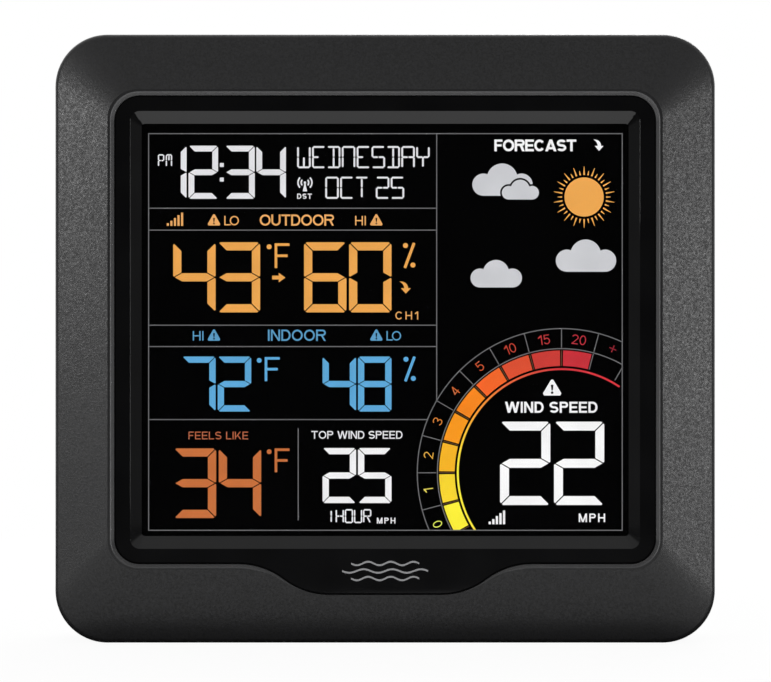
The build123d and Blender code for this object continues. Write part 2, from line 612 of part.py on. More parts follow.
with BuildPart() as battery_wire_red:
    wire(
        [
            (-36.0, 5.2, 125.0),
            (-39.0, 5.2, 125.0),
            (-40.6, 4.8, 128.5),
            (-40.2, 4.2, 133.5),
            (-38.6, 3.6, 138.5),
            (-38.5, 2.0, 142.5),
            (-38.5, TOP, 142.5),
        ],
        0.6,
    )
save(battery_wire_red, "battery_wire_red")

with BuildPart() as battery_wire_black:
    wire(
        [
            (36.0, 5.2, 95.0),
            (38.4, 5.2, 95.0),
            (39.4, 4.6, 98.2),
            (38.8, 2.4, 101.0),
            (38.8, TOP, 101.0),
        ],
        0.6,
    )
save(battery_wire_black, "battery_wire_black")

# ================================================================ battery door
with BuildPart() as battery_door:
    panel((-DOOR_X, DOOR_X), (BACK - DOOR_THICK, BACK), DOOR_Z, 1.5)
    for x in (-HOOK_X, HOOK_X):
        hook = (x - HOOK_WIDTH / 2, x + HOOK_WIDTH / 2)
        panel(hook, (12.2, BACK - DOOR_THICK), (DOOR_Z[0], DOOR_Z[0] + 2.0))
        panel(hook, (12.2, 13.6), (DOOR_Z[0] - 2.0, DOOR_Z[0]))
    # the springy latch tongue between its two slits, with grip ribs in a shallow dip
    for x in (-7.8, 7.0):
        panel((x, x + 0.8), (BACK - DOOR_THICK, BACK), (123.0, 135.0), mode=Mode.SUBTRACT)
    panel((-6, 6), (BACK - 0.6, BACK), (125.0, 134.0), 1.0, Mode.SUBTRACT)
    for z in (127.0, 129.5, 132.0):
        panel((-4.5, 4.5), (BACK - 0.6, BACK), (z - 0.5, z + 0.5))
save(battery_door, "battery_door")

# ================================================================ desk stand
foot_top = LEG_LOW + FOOT_HEIGHT
with BuildPart() as stand_leg:
    panel((-LEG_X, LEG_X), (LEG_FRONT, BACK), (LEG_LOW, HINGE_Z))
    slots([(0, 14.0)], (22, 9), (BACK - 1.2, BACK), Mode.SUBTRACT)
    panel((-FOOT_X, FOOT_X), (LEG_FRONT, BACK), (LEG_LOW, foot_top), mode=Mode.SUBTRACT)
    for x in (-22, 0, 22):
        panel((x - 0.8, x + 0.8), (LEG_FRONT - 0.8, LEG_FRONT), (10, 66))
    add(cover_envelope.part, mode=Mode.INTERSECT)
    # hinge barrel, with the heel
    rod((-LEG_X, LEG_X), HINGE_Y, HINGE_Z, BARREL_RADIUS)
    heel = (HINGE_Y - BARREL_RADIUS, HINGE_Y)
    panel((-LEG_X, LEG_X), heel, (HINGE_Z, HINGE_Z + HEEL))
    rod((-LEG_X, LEG_X), HINGE_Y, HINGE_Z, PIN_RADIUS + 0.05, Mode.SUBTRACT)
save(stand_leg, "stand_leg")

with BuildPart() as stand_foot:
    panel((-FOOT_X + 0.05, FOOT_X - 0.05), (12.4, BACK), (LEG_LOW, foot_top))
    add(cover_envelope.part, mode=Mode.INTERSECT)
save(stand_foot, "stand_foot")

with BuildPart() as stand_pin:
    rod((-RECESS_X - 2.3, RECESS_X + 2.3), HINGE_Y, HINGE_Z, PIN_RADIUS)
    chamfer(edges(), 0.3)
save(stand_pin, "stand_pin")

# ================================================================ screws
with BuildPart() as case_screws:
    screws(CASE_SCREWS, CASE_HEAD, (CASE_SEAT, CASE_SEAT + 1.9), CASE_SHANK, -6.5)
save(case_screws, "case_screws")

with BuildPart() as inner_screws:
    for points, seat_y, tip in (
        (TRAY_SCREWS, TRAY["y"][1], -9.5),
        (BOARD_SCREWS, TOP, -7.5),
    ):
        discs(points, 1.9, (seat_y, seat_y + 1.3))
        discs(points, INNER_SHANK, (tip, seat_y))
save(inner_screws, "inner_screws")
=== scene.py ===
"""Home weather station: looks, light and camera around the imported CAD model.

Everything is in metres in the model's own frame: X to the right of somebody who reads the display,
Y from the front to the back, Z up. The display's graphics are drawn in millimetres on a layout whose
origin is the top left corner of the thin border line, x to the right and y down.
"""

import json
from math import atan2, cos, hypot, pi, radians, sin, tau

import bmesh
import bpy
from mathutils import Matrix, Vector
from mathutils.bvhtree import BVHTree
from mathutils.geometry import delaunay_2d_cdt


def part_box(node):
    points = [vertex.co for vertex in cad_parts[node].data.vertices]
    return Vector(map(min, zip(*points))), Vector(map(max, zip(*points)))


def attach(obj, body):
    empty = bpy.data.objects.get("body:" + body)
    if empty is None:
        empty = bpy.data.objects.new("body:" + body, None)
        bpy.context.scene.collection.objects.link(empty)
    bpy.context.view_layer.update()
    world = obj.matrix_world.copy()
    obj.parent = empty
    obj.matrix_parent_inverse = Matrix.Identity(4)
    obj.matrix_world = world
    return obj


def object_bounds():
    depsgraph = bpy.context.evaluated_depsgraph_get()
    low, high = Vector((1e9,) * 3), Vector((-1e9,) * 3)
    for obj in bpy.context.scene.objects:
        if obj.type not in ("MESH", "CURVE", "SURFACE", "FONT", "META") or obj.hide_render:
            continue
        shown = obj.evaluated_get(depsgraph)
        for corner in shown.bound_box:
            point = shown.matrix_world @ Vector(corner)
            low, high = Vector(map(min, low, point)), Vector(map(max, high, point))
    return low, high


MM = 0.001
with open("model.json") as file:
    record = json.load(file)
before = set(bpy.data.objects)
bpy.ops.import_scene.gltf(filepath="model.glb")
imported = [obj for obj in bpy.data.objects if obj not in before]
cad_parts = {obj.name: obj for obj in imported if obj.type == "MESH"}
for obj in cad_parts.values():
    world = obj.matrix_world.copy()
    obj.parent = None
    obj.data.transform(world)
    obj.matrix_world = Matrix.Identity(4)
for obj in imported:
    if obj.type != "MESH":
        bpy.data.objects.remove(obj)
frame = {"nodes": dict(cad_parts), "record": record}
cad_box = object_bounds()
nodes = frame["nodes"]
scene = bpy.context.scene


def srgb(*levels):
    """A colour given as 0 to 255 screen levels, as the linear values that shaders use."""
    unit = [level / 255 for level in levels]
    return [u / 12.92 if u <= 0.04045 else ((u + 0.055) / 1.055) ** 2.4 for u in unit] + [1.0]


# ================================================================ camera
LENS, SENSOR = 120.0, 36.0
FRAME_WIDTH = 216.0 * MM  # what the picture takes in, side to side, at the bezel's edge
EDGE_Y = cad_box[0].y + 3.7 * MM  # about where that edge lies, front to back
EYE = Vector((0.1 * MM, 0, 84.64 * MM))  # the camera looks along +Y at this height


def add_camera():
    data = bpy.data.cameras.new("camera")
    data.lens = LENS
    data.sensor_width = SENSOR
    data.clip_start = 0.01
    camera = bpy.data.objects.new("camera", data)
    camera.location = EYE + Vector((0, EDGE_Y - FRAME_WIDTH * LENS / SENSOR, 0))
    camera.rotation_euler = (radians(90), 0, 0)
    scene.collection.objects.link(camera)
    scene.camera = camera


add_camera()
scene.view_settings.view_transform = "Standard"


# ================================================================ node helpers
class Nodes:
    """A node tree and short calls that add to it."""

    def __init__(self, tree):
        self.tree = tree

    def feed(self, socket, value):
        """Sets a socket to a plain value, or links another node's socket to it."""
        if isinstance(value, bpy.types.NodeSocket):
            self.tree.links.new(value, socket)
        else:
            socket.default_value = value

    def node(self, kind, *inputs, **values):
        """A new node. Its settings and inputs are given by name, or the inputs in order."""
        node = self.tree.nodes.new(kind)
        for key, value in values.items():
            if hasattr(node, key):
                setattr(node, key, value)
            else:
                self.feed(node.inputs[key.replace("_", " ")], value)
        for socket, value in zip(node.inputs, inputs):
            self.feed(socket, value)
        return node

    def number(self, operation, *values):
        """Arithmetic on one or two numbers."""
        return self.node("ShaderNodeMath", *values, operation=operation).outputs["Value"]

    def vector(self, operation, first, second):
        """Arithmetic on two vectors, as the node's outputs."""
        return self.node("ShaderNodeVectorMath", first, second, operation=operation).outputs

    def split(self, vector):
        """The X, Y and Z of a vector."""
        return self.node("ShaderNodeSeparateXYZ", Vector=vector).outputs

    def span(self, value, low, high, start=0.25, stop=0.75, kind="LINEAR"):
        """A number that runs from low to high as value runs from start to stop."""
        limits = {"From_Min": start, "From_Max": stop, "To_Min": low, "To_Max": high}
        span = self.node("ShaderNodeMapRange", interpolation_type=kind, Value=value, **limits)
        return span.outputs["Result"]


class Shader(Nodes):
    """A material with one Principled surface."""

    def __init__(self, name):
        self.name = name
        self.material = bpy.data.materials.new(name)
        self.material.use_nodes = True
        super().__init__(self.material.node_tree)
        self.surface = self.tree.nodes["Principled BSDF"]
        self.place = self.node("ShaderNodeTexCoord").outputs["Object"]

    def noise(self, size, detail=2.0, stretch=(1, 1, 1), roughness=0.5):
        """Noise whose blotches are about size metres across, divided by stretch along each axis."""
        place = self.node("ShaderNodeMapping", Vector=self.place, Scale=stretch).outputs["Vector"]
        values = {"Scale": 1 / size, "Detail": detail, "Roughness": roughness}
        return self.node("ShaderNodeTexNoise", Vector=place, **values).outputs["Fac"]

    def gradient(self, factor, *stops):
        """A colour that runs through stops, each a (position, colour), as factor rises."""
        node = self.node("ShaderNodeValToRGB", Fac=factor)
        elements = node.color_ramp.elements
        elements[0].position, elements[1].position = stops[0][0], stops[-1][0]
        for position, _ in stops[1:-1]:
            elements.new(position)
        for element, (_, colour) in zip(elements, stops):
            element.color = colour
        return node.outputs["Color"]

    def tint(self, factor, dark, light, start=0.3, stop=0.7):
        """A colour between dark and light as factor runs from start to stop."""
        return self.gradient(factor, (start, dark), (stop, light))

    def mix(self, factor, first, second):
        """A colour that goes from first to second as factor goes from 0 to 1."""
        node = self.node("ShaderNodeMix", data_type="RGBA", Factor=factor, A=first, B=second)
        return node.outputs["Result"]

    def bump(self, height, depth):
        """Relief that is depth metres deep where height runs from 0 to 1, over any earlier relief."""
        bump = self.node("ShaderNodeBump", Height=height, Distance=depth)
        normal = self.surface.inputs["Normal"]
        if normal.is_linked:
            self.feed(bump.inputs["Normal"], normal.links[0].from_socket)
        self.feed(normal, bump.outputs["Normal"])

    def set(self, **values):
        for key, value in values.items():
            self.feed(self.surface.inputs[key.replace("_", " ")], value)


def scaled(colour, factor):
    """A colour made lighter or darker."""
    return [min(1.0, c * factor) for c in colour[:3]] + [1.0]


def moulded(name, colour, rough, grain=0.35 * MM, depth=0.03 * MM, spread=0.25, **values):
    """Moulded plastic or rubber: a fine spark-eroded grain over broad, faint changes of shade."""
    shader = Shader(name)
    fine = shader.noise(grain, 3.0, roughness=0.6)
    broad = shader.noise(22 * MM, 2.0)
    shader.set(
        Base_Color=shader.tint(fine, scaled(colour, 1 - spread), scaled(colour, 1 + spread)),
        Roughness=shader.span(broad, rough - 0.03, rough + 0.03),
        **values,
    )
    shader.bump(fine, depth)
    return shader


def metal(name, colour, rough, stretch=(1, 1, 14)):
    """Plated or drawn metal with fine lines along its length."""
    shader = Shader(name)
    lines = shader.noise(0.4 * MM, 3.0, stretch)
    shader.set(
        Base_Color=shader.tint(lines, scaled(colour, 0.82), colour),
        Roughness=shader.span(lines, rough * 0.7, rough * 1.3),
        Metallic=1.0,
    )
    shader.bump(lines, 0.006 * MM)
    return shader


def circuit(name, mask):
    """A circuit board: solder resist over faint tracks, with a grid of tinned vias."""
    shader = Shader(name)
    turned = shader.node("ShaderNodeMapping", Vector=shader.place, Rotation=(radians(90), 0, 0))
    plan = turned.outputs["Vector"]
    mortar = {"Mortar_Size": 0.05, "Mortar_Smooth": 0.4}
    tracks = shader.node("ShaderNodeTexBrick", Vector=plan, Scale=1 / (9 * MM), **mortar).outputs["Fac"]
    cells = shader.node("ShaderNodeTexVoronoi", Vector=plan, Scale=1 / (3.2 * MM), Randomness=0.35)
    vias = shader.span(cells.outputs["Distance"], 1, 0, 0.10, 0.13)
    resist = shader.tint(tracks, mask, scaled(mask, 1.8), 0.0, 1.0)
    shader.set(
        Base_Color=shader.mix(vias, resist, srgb(206, 204, 196)),
        Roughness=0.3,
        Metallic=vias,
    )
    shader.bump(tracks, 0.03 * MM)
    return shader


def striped(name, first, second, pitch, axis, rough=0.5, **values):
    """Bands across one axis, such as the layers of a contact strip or the turns of a winding."""
    shader = Shader(name)
    bands = {"wave_type": "BANDS", "bands_direction": axis, "Distortion": 0.0}
    wave = shader.node("ShaderNodeTexWave", Vector=shader.place, Scale=tau / (20 * pitch), **bands)
    fine = shader.noise(0.3 * MM)
    shader.set(
        Base_Color=shader.tint(wave.outputs["Fac"], first, second),
        Roughness=shader.span(fine, rough - 0.05, rough + 0.05),
        **values,
    )
    shader.bump(wave.outputs["Fac"], pitch * 0.15)
    return shader


def lit(name, *levels):
    """A lit area of the display, of this screen colour: the backlight behind it is a little uneven."""
    shader = Shader(f"lit_{name}")
    broad = shader.noise(9 * MM, 1.0)
    colour = srgb(*levels)
    shader.set(
        Base_Color=(0.0, 0.0, 0.0, 1.0),
        Roughness=0.4,
        Emission_Color=shader.tint(broad, scaled(colour, 0.93), colour, 0.35, 0.6),
        Emission_Strength=1.0,
    )
    return shader.material


# ================================================================ materials of the CAD nodes
BLACK_PLASTIC = srgb(28, 28, 29)


def bezel_plastic():
    """Matte black plastic with a sparkling grain; a painted highlight lightens the inward face of the edge
    round the gloss surround, more where it faces down.

    How far inward a point looks is its normal's lean towards the middle of the front, times its
    distance from there.
    """
    shader = Shader("bezel_plastic")
    grain = shader.noise(0.7 * MM, 3.0, roughness=0.8)
    broad = shader.noise(22 * MM, 2.0)
    normal = shader.node("ShaderNodeNewGeometry").outputs["Normal"]
    middle = (0, 0, (cad_box[0].z + cad_box[1].z) / 2)
    away = shader.vector("SUBTRACT", shader.place, middle)["Vector"]
    flat = shader.vector("MULTIPLY", away, (1, 0, 1))["Vector"]
    outward = shader.vector("DOT_PRODUCT", flat, normal)["Value"]
    # inward picks out the faces that turn towards the middle: the edge round the gloss surround, where a
    # painted highlight goes.
    inward = shader.span(outward, 0.0, 1.0, -4 * MM, -22 * MM)
    downward = shader.span(shader.split(normal)["Z"], 0.0, 1.0, 0.4, -0.4)
    plain = shader.tint(grain, scaled(BLACK_PLASTIC, 0.35), scaled(BLACK_PLASTIC, 1.9), 0.35, 0.65)
    # Painted highlight on that edge: lighter where it faces down, darker where it faces up.
    painted_lip_highlight = shader.tint(downward, srgb(64, 64, 65), srgb(106, 106, 107))
    shader.set(
        Base_Color=shader.mix(inward, plain, painted_lip_highlight),
        Roughness=shader.span(grain, 0.46, 0.26, 0.35, 0.65),
    )
    shader.bump(grain, 0.04 * MM)
    shader.bump(broad, 0.05 * MM)
    return shader


def gloss_black():
    """Piano black: nearly a mirror, with a slight waviness from the mould and faint wiping marks."""
    shader = Shader("surround_plastic")
    wipe = shader.noise(2.0 * MM, 3.0, (0.12, 1, 1))
    wave = shader.noise(14 * MM, 1.0)
    shader.set(
        Base_Color=shader.tint(wave, srgb(9, 9, 10), srgb(14, 14, 15)),
        Roughness=shader.span(wipe, 0.04, 0.07),
        IOR=1.5,
    )
    shader.bump(wave, 0.02 * MM)
    return shader


def clear_window():
    """Clear acrylic with hardly a mark on it."""
    shader = Shader("window")
    smear = shader.noise(18 * MM, 2.0)
    shader.set(
        Base_Color=(1.0, 1.0, 1.0, 1.0),
        Roughness=shader.span(smear, 0.0, 0.012),
        Transmission_Weight=1.0,
        IOR=1.2,
    )
    return shader


def battery_sleeve():
    """A cell in a plain green sleeve with bare metal past it.

    The sleeve's ends follow the middle cell. The outer two cells face the other way, so that they
    show more metal at the button end and none at the other.
    """
    shader = Shader("battery_wrap")
    low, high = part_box("battery_2")
    along = shader.number("SUBTRACT", shader.split(shader.place)["X"], (low.x + high.x) / 2)
    edge = (high.x - low.x) / 2 - 4 * MM
    bare = shader.span(shader.number("ABSOLUTE", along), 0.0, 1.0, edge, edge + 0.2 * MM)
    scuffs = shader.noise(3 * MM, 3.0)
    shader.set(
        Base_Color=shader.mix(bare, srgb(60, 104, 84), srgb(176, 176, 178)),
        Roughness=shader.span(scuffs, 0.24, 0.4),
        Metallic=0.4,
    )
    shader.bump(scuffs, 0.01 * MM)
    return shader


def make_materials():
    """One material for each of the record's slots."""
    wire = {"grain": 1.5 * MM, "depth": 0.02 * MM, "spread": 0.12}
    shaders = [
        bezel_plastic(),
        gloss_black(),
        clear_window(),
        moulded("black_tape", srgb(18, 18, 18), 0.8, 0.5 * MM, 0.08 * MM),
        moulded("polariser", srgb(2, 2, 3), 0.15, 0.3 * MM, 0.001 * MM, Specular_IOR_Level=0.1),
        moulded("display_glass", srgb(30, 34, 36), 0.06, 8 * MM, 0.002 * MM),
        striped("colour_film", srgb(70, 40, 30), srgb(30, 50, 74), 24 * MM, "Z", 0.3),
        moulded("white_plastic", srgb(226, 226, 222), 0.45, 0.6 * MM, 0.02 * MM, 0.03),
        moulded("light_guide", srgb(214, 222, 226), 0.12, 1.5 * MM, 0.03 * MM, 0.04),
        moulded("reflector", srgb(222, 224, 226), 0.2, 1.0 * MM, 0.01 * MM, 0.04),
        moulded("led_board", srgb(222, 222, 214), 0.4, 1.0 * MM, 0.02 * MM, 0.05),
        moulded("led", srgb(236, 214, 120), 0.25, 0.8 * MM, 0.01 * MM, 0.06),
        striped("contact_rubber", srgb(34, 36, 38), srgb(150, 160, 150), 0.2 * MM, "X"),
        circuit("circuit_board", srgb(22, 86, 46)),
        moulded("chip", srgb(30, 30, 31), 0.55, 0.25 * MM, 0.02 * MM),
        moulded("capacitor", srgb(34, 36, 74), 0.25, 1.5 * MM, 0.01 * MM, 0.08),
        metal("bare_steel", srgb(186, 186, 188), 0.32),
        circuit("radio_board", srgb(20, 52, 118)),
        striped("copper", srgb(150, 78, 40), srgb(206, 120, 70), 0.25 * MM, "X", 0.35, Metallic=0.8),
        moulded("ferrite", srgb(58, 58, 60), 0.6, 0.4 * MM, 0.03 * MM),
        moulded("buzzer_plastic", srgb(34, 34, 35), 0.4, 0.5 * MM, 0.02 * MM),
        moulded("jack_plastic", srgb(28, 28, 29), 0.4, 0.4 * MM, 0.02 * MM),
        metal("contact_metal", srgb(206, 204, 200), 0.22),
        metal("switch_metal", srgb(176, 176, 176), 0.35),
        moulded("wire_grey", srgb(118, 118, 120), 0.45, **wire),
        moulded("cover_plastic", srgb(40, 40, 41), 0.48, 0.5 * MM, 0.05 * MM, 0.22),
        moulded("foot_rubber", srgb(30, 30, 30), 0.85, 0.7 * MM, 0.05 * MM),
        battery_sleeve(),
        moulded("wire_red", srgb(178, 28, 26), 0.42, **wire),
        moulded("wire_black", srgb(24, 24, 24), 0.42, **wire),
        moulded("key_plastic", srgb(66, 66, 68), 0.6, 0.3 * MM, 0.03 * MM, 0.12),
        metal("screw_steel", srgb(120, 120, 124), 0.35, (1, 1, 1)),
    ]
    return {shader.name: shader.material for shader in shaders}


materials = make_materials()
for part in frame["record"]["subparts"]:
    mesh = nodes[part["node"]].data
    mesh.materials.clear()
    mesh.materials.append(materials[part["material_slot"]])


# ================================================================ flat shapes and solids made from them
def in_scene(name, mesh, material):
    """Puts a bmesh in the scene as an object."""
    data = bpy.data.meshes.new(name)
    mesh.to_mesh(data)
    mesh.free()
    data.materials.append(material)
    piece = bpy.data.objects.new(name, data)
    scene.collection.objects.link(piece)
    return piece


def solid(name, triangles, points, place, material, body):
    """A closed plate: a flat region of triangles, carried to its front and back by place."""
    mesh = bmesh.new()
    front = [mesh.verts.new(place(x, y, 1)) for x, y in points]
    back = [mesh.verts.new(place(x, y, 0)) for x, y in points]
    sides = {}
    for triangle in triangles:
        mesh.faces.new([front[i] for i in triangle])
        mesh.faces.new([back[i] for i in reversed(triangle)])
        sides.update(dict.fromkeys(zip(triangle, triangle[1:] + triangle[:1])))
    for start, end in sides:
        if (end, start) not in sides:
            mesh.faces.new((front[end], front[start], back[start], back[end]))
    unused = [v for v in mesh.verts if not v.link_faces]
    bmesh.ops.delete(mesh, geom=unused, context="VERTS")
    bmesh.ops.recalc_face_normals(mesh, faces=mesh.faces)
    piece = in_scene(name, mesh, material)
    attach(piece, body)


def anticlockwise(outline):
    """The same outline, run so that its inside is on the left."""
    area = sum(a[0] * b[1] - b[0] * a[1] for a, b in zip(outline, outline[1:] + outline[:1]))
    return outline if area > 0 else outline[::-1]


def region(adds, cuts=(), clip=None):
    """The triangles of what the outlines in adds cover together, less cuts, inside clip."""
    outlines = [*adds, *cuts] + ([clip] if clip else [])
    points, faces = [], []
    for outline in map(anticlockwise, outlines):
        faces.append(list(range(len(points), len(points) + len(outline))))
        points += [Vector(p) for p in outline]
    points, _, triangles, _, _, owners = delaunay_2d_cdt(points, [], faces, 1, 1e-5, True)
    last_add, last_cut = len(adds), len(adds) + len(cuts)
    kept = []
    for triangle, inside in zip(triangles, owners):
        covered = any(i < last_add for i in inside)
        removed = any(last_add <= i < last_cut for i in inside)
        if covered and not removed and (clip is None or last_cut in inside):
            kept.append(tuple(triangle))
    return kept, [tuple(p) for p in points]


def arc(centre, radius, start, stop, steps=24):
    """Points along an arc, angles in degrees from +x towards +y."""
    angles = [radians(start + (stop - start) * i / steps) for i in range(steps + 1)]
    return [(centre[0] + radius * cos(a), centre[1] + radius * sin(a)) for a in angles]


def disc(centre, radius, steps=40):
    return arc(centre, radius, 0, 360, steps)[:-1]


def rectangle(x0, y0, x1, y1):
    return [(x0, y0), (x1, y0), (x1, y1), (x0, y1)]


def stroke(start, end, width, tip=0.5):
    """A straight bar whose ends come to a blunt point."""
    length = hypot(end[0] - start[0], end[1] - start[1])
    along = ((end[0] - start[0]) / length, (end[1] - start[1]) / length)
    across = (-along[1] * width / 2, along[0] * width / 2)
    reach = tip * width

    def at(point, forward, sideways):
        return (
            point[0] + along[0] * forward + across[0] * sideways,
            point[1] + along[1] * forward + across[1] * sideways,
        )

    first = [at(start, 0, 0), at(start, reach, 1), at(end, -reach, 1)]
    return first + [at(end, 0, 0), at(end, -reach, -1), at(start, reach, -1)]


def band(centre, inner, outer, start, stop, steps=24):
    """Part of a ring."""
    return arc(centre, outer, start, stop, steps) + arc(centre, inner, stop, start, steps)


# ================================================================ display layout
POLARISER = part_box("lcd_front_polariser")
LAYOUT_CORNER = (POLARISER[0].x + 3.08 * MM, POLARISER[1].z - 4.12 * MM)
INK = 0.05 * MM  # how far graphics and marks stand out from what they are on
GAP = 0.003 * MM  # between the polariser and the back of the graphics
LINE = 0.28  # border and divider lines, mm
PAPER_W, PAPER_H = 133.0, 111.4  # size of the border
DIVIDER = 80.9  # x of the upright line
ROWS = (20.95, 27.1, 53.8, 59.8, 80.3)  # y of the level lines
HALF_DIVIDER = (42.0, 82.8, 108.6)  # x, top and bottom of the short upright line

BRIGHT = lit("bright", 252, 252, 252)
WHITE = lit("white", 244, 244, 245)
SOFT_WHITE = lit("soft_white", 228, 228, 231)
GREY_LINE = lit("line", 104, 104, 106)
GAP_LINE = lit("gap_line", 92, 66, 44)
CLOUD_GREY = lit("cloud", 205, 206, 210)
AMBER = lit("amber", 236, 166, 80)
AMBER_WORD = lit("amber_word", 232, 168, 98)
BLUE = lit("blue", 92, 168, 216)
BLUE_WORD = lit("blue_word", 88, 152, 192)
RUST = lit("rust", 198, 110, 56)
RUST_WORD = lit("rust_word", 176, 96, 64)


def on_paper(x, y, near):
    """A layout point in the model's frame; near is 1 at the front of the ink and 0 at its back."""
    depth = POLARISER[0].y - (GAP + INK * near)
    return (LAYOUT_CORNER[0] + x * MM, depth, LAYOUT_CORNER[1] - y * MM)


def draw(name, adds, material, cuts=(), clip=None):
    """A lit graphic from outlines on the layout."""
    triangles, points = region(adds, cuts, clip)
    solid(name, triangles, points, on_paper, material, "console")


# ---------------------------------------------------------------- figures
SEVEN = {
    "0": "abcdef",
    "1": "bc",
    "2": "abged",
    "3": "abgcd",
    "4": "fgbc",
    "5": "afgcd",
    "6": "afgedc",
    "7": "abc",
    "8": "abcdefg",
}
FOURTEEN = {
    "A": "abcefpq",
    "C": "adef",
    "D": "abcdiv",
    "E": "adefp",
    "H": "bcefpq",
    "M": "abcefi",
    "N": "abcef",
    "O": "abcdef",
    "P": "abefpq",
    "R": "abefpqz",
    "S": "acdfpq",
    "T": "aiv",
    "U": "bcdef",
    "W": "bcdefv",
    "Y": "bfpqv",
    "1": "iv",
    "2": "abdepq",
    "5": "acdfpq",
}


def seven_bars(width, height, thick):
    """The seven bars of a figure, each a mitred outline, with y down from the top left corner."""
    gap, cut, middle = 0.09 * thick, 0.24 * thick, height / 2
    top = [
        (cut + gap, 0),
        (width - cut - gap, 0),
        (width - cut / 2 - gap, cut / 2),
        (width - thick - gap, thick),
        (thick + gap, thick),
        (cut / 2 + gap, cut / 2),
    ]
    right = [
        (width - cut / 2, cut / 2 + gap),
        (width, cut + gap),
        (width, middle - 1.8 * gap),
        (width - 0.12 * thick, middle - gap),
        (width - thick, middle - thick / 2 - gap),
        (width - thick, thick + gap),
    ]
    core = [
        (0.2 * thick, middle),
        (1.08 * thick, middle - thick / 2),
        (width - 1.08 * thick, middle - thick / 2),
        (width - 0.2 * thick, middle),
        (width - 1.08 * thick, middle + thick / 2),
        (1.08 * thick, middle + thick / 2),
    ]

    def flip_x(outline):
        return [(width - x, y) for x, y in outline]

    def flip_y(outline):
        return [(x, height - y) for x, y in outline]

    left = flip_x(right)
    bars = {"a": top, "b": right, "c": flip_y(right), "d": flip_y(top)}
    return {**bars, "e": flip_y(left), "f": left, "g": core}


def fourteen_bars(width, height, thick):
    """The bars of a letter: a to f round the edge, p q across, i v up the middle, z slanting."""
    left, right, top, bottom = thick / 2, width - thick / 2, thick / 2, height - thick / 2
    centre, middle, gap = width / 2, height / 2, 0.06 * thick
    ends = {
        "a": ((left + gap, top), (right - gap, top)),
        "b": ((right, top + gap), (right, middle - gap)),
        "c": ((right, middle + gap), (right, bottom - gap)),
        "d": ((left + gap, bottom), (right - gap, bottom)),
        "e": ((left, middle + gap), (left, bottom - gap)),
        "f": ((left, top + gap), (left, middle - gap)),
        "p": ((left + gap, middle), (centre - gap, middle)),
        "q": ((centre + gap, middle), (right - gap, middle)),
        "i": ((centre, top + thick * 0.6), (centre, middle - gap)),
        "v": ((centre, middle + gap), (centre, bottom - thick * 0.3)),
        "z": ((centre + gap, middle + thick * 0.5), (right - thick * 0.4, bottom)),
    }
    return {bar: stroke(*points, thick, 0.42) for bar, points in ends.items()}


def figure(text, table, bars, x, y, pitch):
    """Outlines of the lit bars of text, one cell each pitch from x, with its top at y."""
    outlines = []
    for i, character in enumerate(text):
        for bar in table.get(character, ""):
            outlines.append([(x + i * pitch + u, y + v) for u, v in bars[bar]])
    return outlines


def seven(name, text, x, y, size, thick, pitch, material):
    """Big figures."""
    draw(name, figure(text, SEVEN, seven_bars(*size, thick), x, y, pitch), material)


def fourteen(text, x, y, size, thick, pitch):
    """Outlines of small segmented letters."""
    return figure(text, FOURTEEN, fourteen_bars(*size, thick), x, y, pitch)


# ---------------------------------------------------------------- plain upright capitals and figures
# Each letter is drawn one unit tall, y down, and thick is the width of its strokes.
LETTER_WIDTH = {
    **dict.fromkeys("DHNUT", 0.82),
    **dict.fromkeys("012345", 0.66),
    **{"A": 0.96, "C": 0.9, "E": 0.74, "F": 0.69, "K": 0.84, "L": 0.68, "M": 0.96, "O": 0.97},
    **{"P": 0.76, "R": 0.86, "S": 0.8, "W": 1.3, "1": 0.4, "+": 0.66, " ": 0.3},
}


def bowl(cx, cy, rx, ry, thick, start, stop, steps=20):
    """Part of an oval ring, angles in degrees from +x towards +y."""
    outer, inner = [], []
    for i in range(steps + 1):
        a = radians(start + (stop - start) * i / steps)
        outer.append((cx + rx * cos(a), cy + ry * sin(a)))
        inner.append((cx + (rx - thick) * cos(a), cy + (ry - thick) * sin(a)))
    return outer + inner[::-1]


